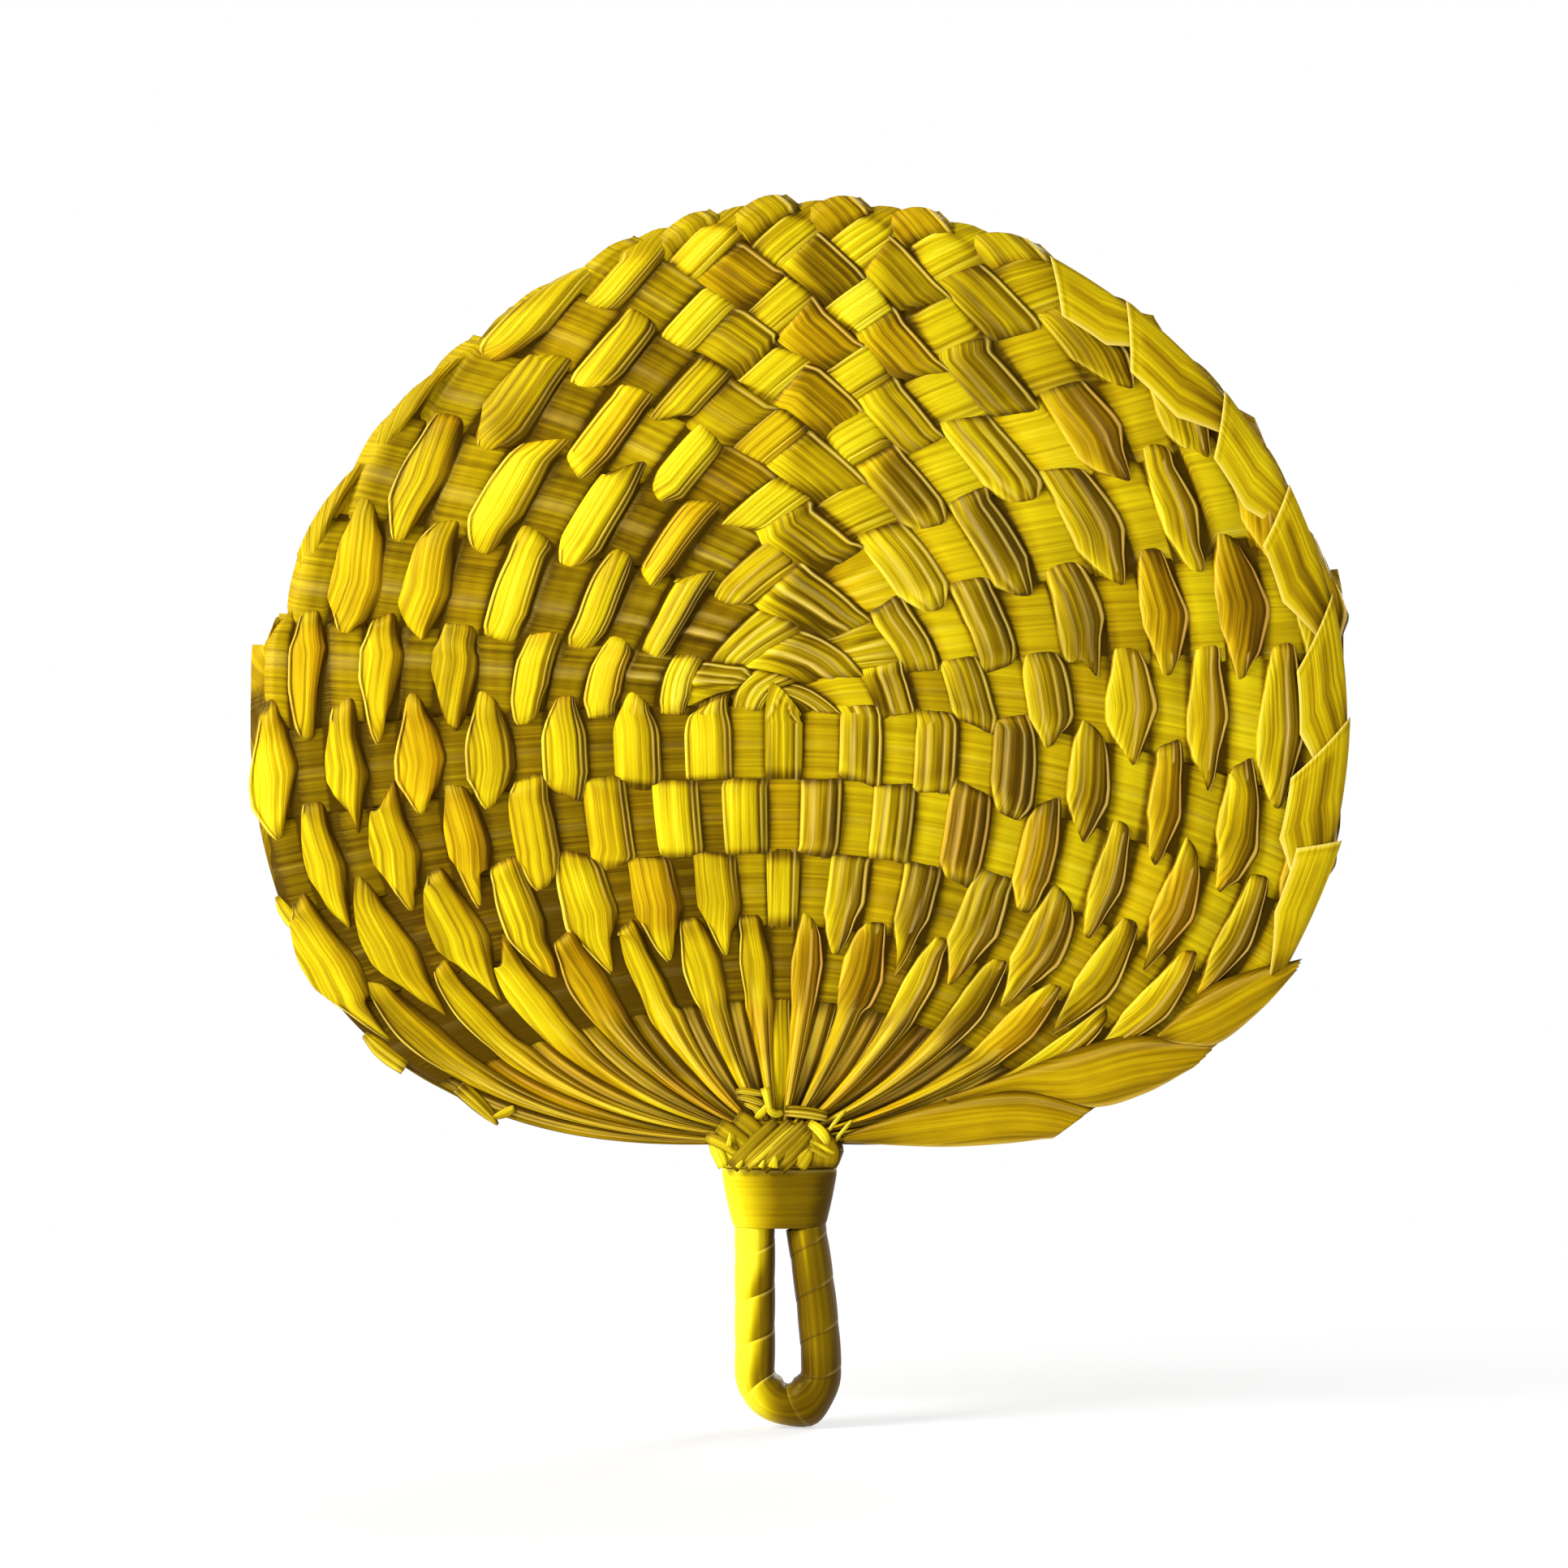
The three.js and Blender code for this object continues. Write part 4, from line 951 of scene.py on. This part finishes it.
def ribbonPiece(name, strips, material, replaced):
    # flat strips joined in one piece; a strip has points (x, depth, z), half widths, bulge, shade (its painted light
    # and shade) and line strength
    s = ribbonLook
    t, c = np.linspace(0, 1, s["rows"]), np.linspace(-1, 1, s["columns"])
    ahead = np.array([0.0, -1.0, 0.0])
    points, faces, alongs, acrosses, count = [], [], [], [], 0
    grids = dict(toneAndShade=[], hollowShade=[], edge=[])
    for places, halves, bulge, toneAndShade, line in strips:
        path = curveThrough(places, t)
        way = np.gradient(path, axis=0)
        way = way / np.linalg.norm(way, axis=1)[:, None]
        out = ahead - way * (way @ ahead)[:, None]
        out = out / np.linalg.norm(out, axis=1)[:, None]
        side = np.cross(way, out)
        side = side * np.where(side[:, :1].mean() < 0, -1, 1)  # plus is the right-hand edge
        across = c * np.interp(t, np.linspace(0, 1, len(halves)), halves)[:, None]
        face = path[:, None] + across[..., None] * side[:, None] + bulge * (1 - c[:, None] ** 2) * out[:, None]
        rings = bothSides(face, face - s["thick"] * (1 - s["thin"] * c[:, None] ** 6) * out[:, None])
        ring = ringFaces(len(t), rings.shape[1])
        if np.cross(side[0], out[0]) @ way[0] > 0:
            ring = ring[:, ::-1]
        faces.append(ring + count)
        count += rings.shape[0] * rings.shape[1]
        points.append(rings.reshape(-1, 3))
        alongs.append(np.repeat(lengthsOf(path), rings.shape[1]))
        acrosses.append(flatten(across, across, across.shape) + dice.uniform(0, s["grainRoom"]))
        ends = ease(1 - s["hollowEnd"], 1.0, t) + ease(s["hollowEnd"], 0.0, t)
        # painted light and shade: darker towards the right edge, painted shade at the ends that tuck under, fold lines
        # and dark rims of painted highlight and shadow
        shades = dict(
            toneAndShade=toneAndShade - s["dark"] * easeOver(s["darkAt"], c),
            hollowShade=s["hollowShade"] * ends[:, None],
            edge=line * softLines(c, s["stripes"]) + softLines(np.abs(c), s["rimLines"]),
        )
        for key, value in shades.items():
            grids[key].append(flatten(value, value, across.shape))
    flat = {k: np.concatenate(v) for k, v in grids.items()}
    points, faces, alongs, acrosses = (np.concatenate(v) for v in (points, faces, alongs, acrosses))
    fitPiece(addMesh(name, points, faces, alongs, acrosses, flat, material), replaced)


# strips plaited over the neck, the knot with its tail, and the ties
neckLook = dict(
    neck_plait_1=(
        (((-24.0, -3.6, 19.0), (-20.4, -5.4, 17.8), (-17.0, -6.9, 16.2), (-13.8, -8.0, 14.0)),
         (1.6, 1.8, 1.8, 1.4), 0.1, -0.2, 0.2),
        (((-21.9, -2.6, 17.4), (-20.6, -4.6, 14.8), (-19.4, -5.9, 12.2), (-18.5, -6.8, 9.8)),
         (1.5, 2.1, 2.0, 1.6), 0.3, 1.2, 0.0),
        (((-20.0, -3.9, 22.6), (-16.2, -5.3, 20.0), (-12.4, -6.3, 17.2), (-9.4, -7.8, 14.6)),
         (2.5, 2.8, 2.6, 1.8), 0.1, -0.5, 0.2),
        (((-14.6, -3.5, 25.4), (-11.4, -4.7, 23.2), (-8.4, -5.5, 20.6), (-6.0, -5.9, 18.2)),
         (2.5, 2.8, 2.6, 1.8), 0.1, -0.8, 0.2),
        (((-15.8, -8.4, 9.8), (-11.6, -8.9, 14.4), (-7.2, -7.3, 18.8), (-2.0, -4.1, 23.4)),
         (2.1, 2.3, 2.3, 2.1), 0.3, -0.5, 0.3),
        (((-16.9, -8.6, 16.2), (-16.7, -7.6, 17.6), (-16.5, -7.2, 19.0), (-16.3, -6.5, 20.6)),
         (0.9, 0.8, 0.6, 0.4), 0.3, 1.0, 0.6),
    ),
    neck_plait_2=(
        (((-12.2, -8.7, 9.7), (-7.6, -9.2, 14.2), (-2.6, -7.6, 18.8), (2.4, -4.3, 23.4)),
         (1.9, 2.0, 2.0, 1.8), 0.3, -0.3, 0.4),
        (((-10.6, -9.1, 9.8), (-6.0, -9.6, 14.0), (-1.2, -8.0, 18.4), (3.6, -4.9, 22.6)),
         (0.8, 0.85, 0.8, 0.6), 0.3, 0.8, 0.9),
        (((-14.2, -9.2, 9.8), (-13.6, -9.4, 10.6), (-13.0, -9.4, 11.4), (-12.5, -9.2, 12.2)),
         (0.8, 0.8, 0.6, 0.3), 0.25, 1.1, 0.6),
    ),
    neck_plait_3=(
        (((-6.8, -8.9, 9.7), (-2.2, -9.3, 14.0), (2.6, -7.7, 18.4), (7.3, -4.3, 22.8)),
         (2.5, 2.6, 2.5, 2.2), 0.3, -0.6, 0.5),
        (((-1.4, -8.6, 9.7), (2.4, -8.9, 13.2), (5.6, -7.4, 16.6), (9.0, -5.1, 20.6)),
         (2.5, 2.5, 2.3, 1.6), 0.3, -0.9, 0.3),
        (((-3.2, -9.5, 9.9), (-3.0, -9.8, 11.0), (-2.7, -9.7, 12.2), (-2.4, -9.3, 13.6)),
         (1.6, 1.4, 1.0, 0.4), 0.3, 0.9, 0.4),
        (((-7.0, -9.6, 9.9), (-6.6, -9.8, 10.7), (-6.2, -9.8, 11.5), (-5.8, -9.6, 12.3)),
         (0.9, 0.8, 0.6, 0.3), 0.25, 1.1, 0.6),
    ),
    neck_plait_4=(
        (((6.8, -4.1, 22.8), (10.4, -5.9, 19.0), (11.6, -7.9, 14.4), (11.2, -7.7, 10.2)),
         (2.6, 4.2, 6.2, 5.4), 0.3, -0.9, 0.0),
        (((4.8, -8.4, 9.9), (6.0, -8.7, 11.6), (7.2, -8.7, 13.4), (8.4, -8.4, 15.4)),
         (2.4, 2.4, 2.0, 1.2), 0.3, -0.2, 0.4),
        (((8.2, -4.5, 23.4), (10.8, -6.1, 21.6), (12.6, -7.3, 19.6), (14.0, -7.1, 17.0)),
         (1.2, 1.7, 1.7, 1.0), 0.4, 0.9, 0.8),
        (((8.4, -7.5, 18.0), (11.2, -7.7, 16.6), (13.9, -8.6, 15.2), (16.6, -7.4, 13.8)),
         (0.6, 0.7, 0.7, 0.5), 0.3, 0.5, 0.6),
        (((7.6, -8.5, 16.2), (10.4, -8.7, 14.9), (13.0, -8.4, 13.5), (15.4, -7.4, 12.2)),
         (0.6, 0.7, 0.7, 0.5), 0.3, -0.1, 0.5),
    ),
    neck_knot=(
        (((-3.9, -4.3, 26.4), (-4.5, -5.1, 28.6), (-5.1, -5.1, 31.2), (-5.7, -4.1, 34.2)),
         (0.9, 1.0, 1.1, 1.5), 0.4, 1.1, 0.6),
        (((-8.4, -3.5, 24.6), (-7.0, -4.5, 26.2), (-5.6, -4.9, 27.8), (-4.6, -4.5, 29.6)),
         (0.9, 1.2, 1.1, 0.6), 0.35, 0.7, 0.6),
        (((-5.0, -4.7, 28.6), (-3.8, -5.1, 27.0), (-2.2, -4.7, 26.2), (-0.2, -3.5, 26.6)),
         (0.7, 1.2, 1.2, 0.9), 0.35, 0.5, 0.6),
    ),
    knot_tail=(
        (((-14.6, -3.4, 33.2), (-11.6, -4.0, 33.2), (-8.8, -4.2, 32.8), (-6.0, -4.0, 32.2)),
         (0.8, 1.1, 1.1, 0.8), 0.3, -0.1, 1.0),
        (((-14.2, -3.6, 31.4), (-11.2, -4.2, 31.0), (-8.4, -4.4, 30.2), (-5.6, -4.0, 29.0)),
         (0.7, 1.1, 1.1, 0.8), 0.3, -0.4, 1.0),
        (((-12.0, -3.6, 29.4), (-10.0, -4.1, 28.6), (-8.0, -4.3, 27.6), (-6.0, -4.0, 26.6)),
         (0.6, 1.0, 1.0, 0.7), 0.3, -0.1, 1.0),
    ),
    cross_tie=(
        (((0.6, -3.6, 27.0), (4.4, -4.5, 26.9), (9.2, -4.6, 26.3), (13.6, -3.8, 25.3)),
         (1.7, 1.9, 1.9, 1.7), 0.3, -0.5, 1.3),
    ),
    side_tie=(
        (((19.2, -3.7, 27.2), (17.4, -4.5, 25.2), (15.6, -5.1, 23.0), (14.0, -5.1, 20.8)),
         (0.45, 0.6, 0.6, 0.5), 0.3, 1.0, 1.6),
        (((21.2, -3.7, 24.0), (19.4, -4.5, 21.9), (17.6, -5.1, 19.8), (16.0, -5.1, 17.6)),
         (0.45, 0.6, 0.6, 0.5), 0.3, 1.0, 1.6),
    ),
)
for name, strips in neckLook.items():
    ribbonPiece("tied_" + name, strips, bindingFinish, [name])
print("neck plaits, knot and ties made:", len(neckLook))

# torn leaf tips that stand out from the lower left edge
tipLook = dict(
    leaf_torn_tips=(
        (((-130.5, 2.7, 50.6), (-126.5, 2.4, 46.8), (-122.4, 2.3, 43.6), (-117.6, 2.0, 40.2)),
         (1.2, 2.6, 3.0, 2.6), 0.3, 0.1, 0.8),
        (((-101.0, 1.2, 34.4), (-95.2, 0.9, 29.2), (-91.6, 1.2, 25.6), (-88.9, 1.4, 22.4)),
         (2.8, 2.6, 1.9, 0.5), 0.3, -0.4, 0.6),
        (((-90.4, 1.2, 24.6), (-88.2, 1.1, 25.4), (-86.0, 0.9, 26.4), (-83.6, 0.5, 27.6)),
         (0.6, 1.3, 1.6, 1.2), 0.3, 0.2, 0.4),
        (((-158.0, 4.7, 93.4), (-156.0, 4.3, 89.8), (-153.2, 3.9, 86.0), (-149.8, 3.5, 82.0)),
         (0.8, 2.0, 2.4, 1.4), 0.4, 0.5, 0.6),
    ),
)
for name, strips in tipLook.items():
    ribbonPiece(name, strips, leafFinish, [])


# the handle's wrap: one leaf strip wound round the loop, each turn lapped over the one before
handleLook = dict(
    leftX=-8.8, bend=10.35, bendZ=-54.0, top=-3.0, lean=5.9, leanPower=1.5, turns=9, radius=6.05, thick=0.3,
    lap=0.2, puff=0.16, overlap=1.16, turnSteps=56, columns=15, start=5.4, finish=6.3, startAngle=0.9,
    edgeAt=(0.0, 0.9), point=1.2, corner=(2.1, 2.02, 0.36), laps=((1, 0, 0.03), (-1.2, 0.985, 0.04)),
    lapShown=0.6, lapAt=(0.0, 0.5), lapLeast=0.06, lapLate=0.6,
    # painted light and shade of the left leg, paler where it faces left towards the light, with an edge that jumps
    # from lap to lap in the lower half, and of the right leg, darker, with a streak of painted highlight
    toneAndShade=1.7, shade=2.8, shadeFrom=-0.45, shadeTo=0.4, innerShade=1.4, innerAt=(0.5, 0.95), lowAt=(0.25, 0.5),
    step=0.45, lowStep=0.2, lapStep=0.6, lateAt=(0.25, 0.6), lateTone=-1.0, lateRound=1.3,
    streak=(1.1, -0.25, 0.14), streakAt=(-30, -6), foot=0.5, footAt=0.7, footReach=12,
)


def handlePath(s):
    # down the left leg, round the bend and up the leaning right leg; gives the points and the outward ways
    h = handleLook
    leg = h["top"] - h["bendZ"]
    angle = np.clip((s - leg) / h["bend"], 0, math.pi)
    up = np.clip(s - leg - math.pi * h["bend"], 0, None)
    lean = h["lean"] * (up / leg) ** h["leanPower"]
    x = h["leftX"] + h["bend"] - h["bend"] * np.cos(angle) - lean
    z = h["top"] - np.clip(s, 0, leg) - h["bend"] * np.sin(angle) + up
    slope = np.where(up > 0, h["leanPower"] * h["lean"] / leg * (up / leg) ** (h["leanPower"] - 1), 0)
    n = np.hypot(1, slope)
    return x, z, np.where(up > 0, 1 / n, -np.cos(angle)), np.where(up > 0, slope / n, -np.sin(angle))


def wrapPiece():
    # s is the place along the loop, turn and angle the place round it, b the place across the strip
    h = handleLook
    leg, bendLong = h["top"] - h["bendZ"], math.pi * h["bend"]
    long = 2 * leg + bendLong
    begin, finish = h["start"], long - h["finish"]
    pitch = (finish - begin) / h["turns"]
    turn = np.linspace(-h["overlap"], h["turns"], int((h["turns"] + 1) * h["turnSteps"]))[:, None]
    b = np.linspace(0, h["overlap"], h["columns"])
    s = np.clip(begin + pitch * (turn + b), begin, finish)
    angle = 2 * np.pi * turn + h["startAngle"]
    radius = h["radius"] + h["lap"] * (1 - b / h["overlap"]) + h["puff"] * np.sin(np.pi * np.clip(b, 0, 1))
    bendShare = np.clip((s - leg) / h["bend"], 0, math.pi)
    radius = radius + h["point"] * np.sin(2 * bendShare) ** 2 * easeOver(h["edgeAt"], -np.cos(angle))
    radius = radius + softLines(bendShare, (h["corner"],)) * easeOver(h["edgeAt"], np.cos(angle))
    x, z, outX, outZ = handlePath(s)
    skins = []
    for r in (radius, radius - h["thick"]):
        outward = r * np.cos(angle)
        skins.append(np.stack([x + outward * outX, r * np.sin(angle), z + outward * outZ], -1))
    rings = bothSides(*skins)
    across = np.repeat(np.abs(np.mod(angle[:, 0], 2 * np.pi) - np.pi) * h["radius"], rings.shape[1])
    # painted light and shade: paler where the strip faces left, towards the light, darker where it faces right; the
    # right leg darker as a whole and at its sides, with a pale streak of painted highlight near its top and darker low
    # in the bend; lap lines pale and dark
    facing = np.cos(angle) * outX  # minus towards the left
    low = ease(h["lowAt"][0] * leg, h["lowAt"][1] * leg, s)
    step = h["step"] - low * (h["lowStep"] + h["lapStep"] * b / h["overlap"])
    early = h["toneAndShade"] - h["shade"] * ease(step + h["shadeFrom"], step + h["shadeTo"], facing)
    early = early - h["innerShade"] * easeOver(h["innerAt"], facing)
    late = ease(leg + h["lateAt"][0] * bendLong, leg + h["lateAt"][1] * bendLong, s)
    streak = softLines(facing, (h["streak"],)) * easeOver(h["streakAt"], s, long)
    foot = softLines(s, ((h["foot"], leg + h["footAt"] * bendLong, h["footReach"]),))
    toneAndShade = early + late * (h["lateTone"] - foot - h["lateRound"] * facing**2 + streak - early)
    shown = h["lapShown"] * easeOver(h["lapAt"], facing) * (1 - h["lapLate"] * late) + h["lapLeast"]
    grids = dict(toneAndShade=toneAndShade, hollowShade=0, edge=softLines(b, h["laps"]) * shown)
    flat = {key: flatten(v, v, s.shape) for key, v in grids.items()}
    faces = ringFaces(len(rings), rings.shape[1])
    piece = addMesh("wrap_strip", rings.reshape(-1, 3), faces, flatten(s, s, s.shape), across, flat, wrapFinish)
    fitPiece(piece, ["handle_wrap"])


wrapPiece()
print("handle wrapped:", handleLook["turns"], "turns")

# the stalk inside keeps the solids' form
for name in ("handle_core", "neck_core"):
    nodes[name].data.materials.clear()
    nodes[name].data.materials.append(stalkFinish)


# floor, light and camera; a lamp has its place from the aim, power and size
stageLook = dict(
    floor=-0.0716, size=6.0, photo=0.4878, lens=110.0, sensor=36.0, clip=20.0, aim=(0.00025, 0.0, 0.1285),
    lamps=dict(
        key=((-1.05, -0.6, 0.62), 23.9, 0.5),
        fill=((0.9, -1.2, 0.25), 3.3, 1.4),
        back=((0.9, 1.1, 0.7), 22.0, 0.9),
    ),
    world=0.19, floorShade=0.4, shadeReach=0.28, floorColour=(0.9, 0.9, 0.9, 1), floorRough=0.9,
)


def seenDirectly(w):
    # 1 for what the camera sees, straight, mirrored or through something clear
    path = w.node("ShaderNodeLightPath")
    seen = w.math("MAXIMUM", path.outputs["Is Camera Ray"], path.outputs["Is Glossy Ray"])
    return w.math("MAXIMUM", seen, path.outputs["Is Transmission Ray"])


def floorMaterial():
    # white for the camera, with a share of real shade left in it near the object
    m = bpy.data.materials.new("paleFloor")
    m.use_nodes = True
    w = Wires(m.node_tree)
    shader = m.node_tree.nodes["Principled BSDF"]
    shader.inputs["Base Color"].default_value = stageLook["floorColour"]
    shader.inputs["Roughness"].default_value = stageLook["floorRough"]
    glow = w.node("ShaderNodeEmission")
    glow.inputs["Strength"].default_value = 1.0
    place = w.node("ShaderNodeNewGeometry")
    split = w.node("ShaderNodeSeparateXYZ")
    w.put(split.inputs[0], place.outputs["Position"])
    away = w.math("ADD", w.math("POWER", split.outputs[0], 2.0), w.math("POWER", split.outputs[1], 2.0))
    near = w.math("EXPONENT", w.math("MULTIPLY", away, -1 / stageLook["shadeReach"] ** 2))
    share = w.math("MULTIPLY", seenDirectly(w), w.math("MULTIPLY_ADD", near, -stageLook["floorShade"], 1.0))
    mixed = w.node("ShaderNodeMixShader")
    for k, value in enumerate((share, shader.outputs[0], glow.outputs[0])):
        w.put(mixed.inputs[k], value)
    w.put(m.node_tree.nodes["Material Output"].inputs["Surface"], mixed.outputs[0])
    return m


def makeFloor():
    h, z = stageLook["size"], stageLook["floor"]
    mesh = bpy.data.meshes.new("floor")
    mesh.from_pydata([(-h, -h, z), (h, -h, z), (h, h, z), (-h, h, z)], [], [(0, 1, 2, 3)])
    mesh.materials.append(floorMaterial())
    floor = addObject("floor", mesh)


def makeWorld():
    world = bpy.data.worlds.new("studio")
    bpy.context.scene.world = world
    world.use_nodes = True
    w = Wires(world.node_tree)
    back = world.node_tree.nodes["Background"]
    back.inputs["Color"].default_value = (1, 1, 1, 1)
    dim = stageLook["world"]
    w.put(back.inputs["Strength"], w.math("MULTIPLY_ADD", seenDirectly(w), 1 - dim, dim))


def makeLamps():
    for name, (place, power, size) in stageLook["lamps"].items():
        lamp = bpy.data.lights.new(name, "AREA")
        lamp.energy, lamp.size = power, size
        lampObject = addObject(name, lamp)
        lampObject.location = np.add(stageLook["aim"], place)
        lampObject.rotation_euler = Vector(np.negative(place)).to_track_quat("-Z", "Y").to_euler()


def makeCamera():
    s = stageLook
    cam = bpy.data.cameras.new("camera")
    cam.lens, cam.sensor_width, cam.sensor_height, cam.sensor_fit = s["lens"], s["sensor"], s["sensor"], "AUTO"
    cam.clip_end = s["clip"]
    view = addObject("camera", cam)
    view.location = (s["aim"][0], -s["photo"] * s["lens"] / s["sensor"], s["aim"][2])
    view.rotation_euler = (math.radians(90.0), 0, 0)
    bpy.context.scene.camera = view


makeFloor()
makeWorld()
makeLamps()
makeCamera()
bpy.context.scene.view_settings.view_transform = "Standard"
print("stage set")
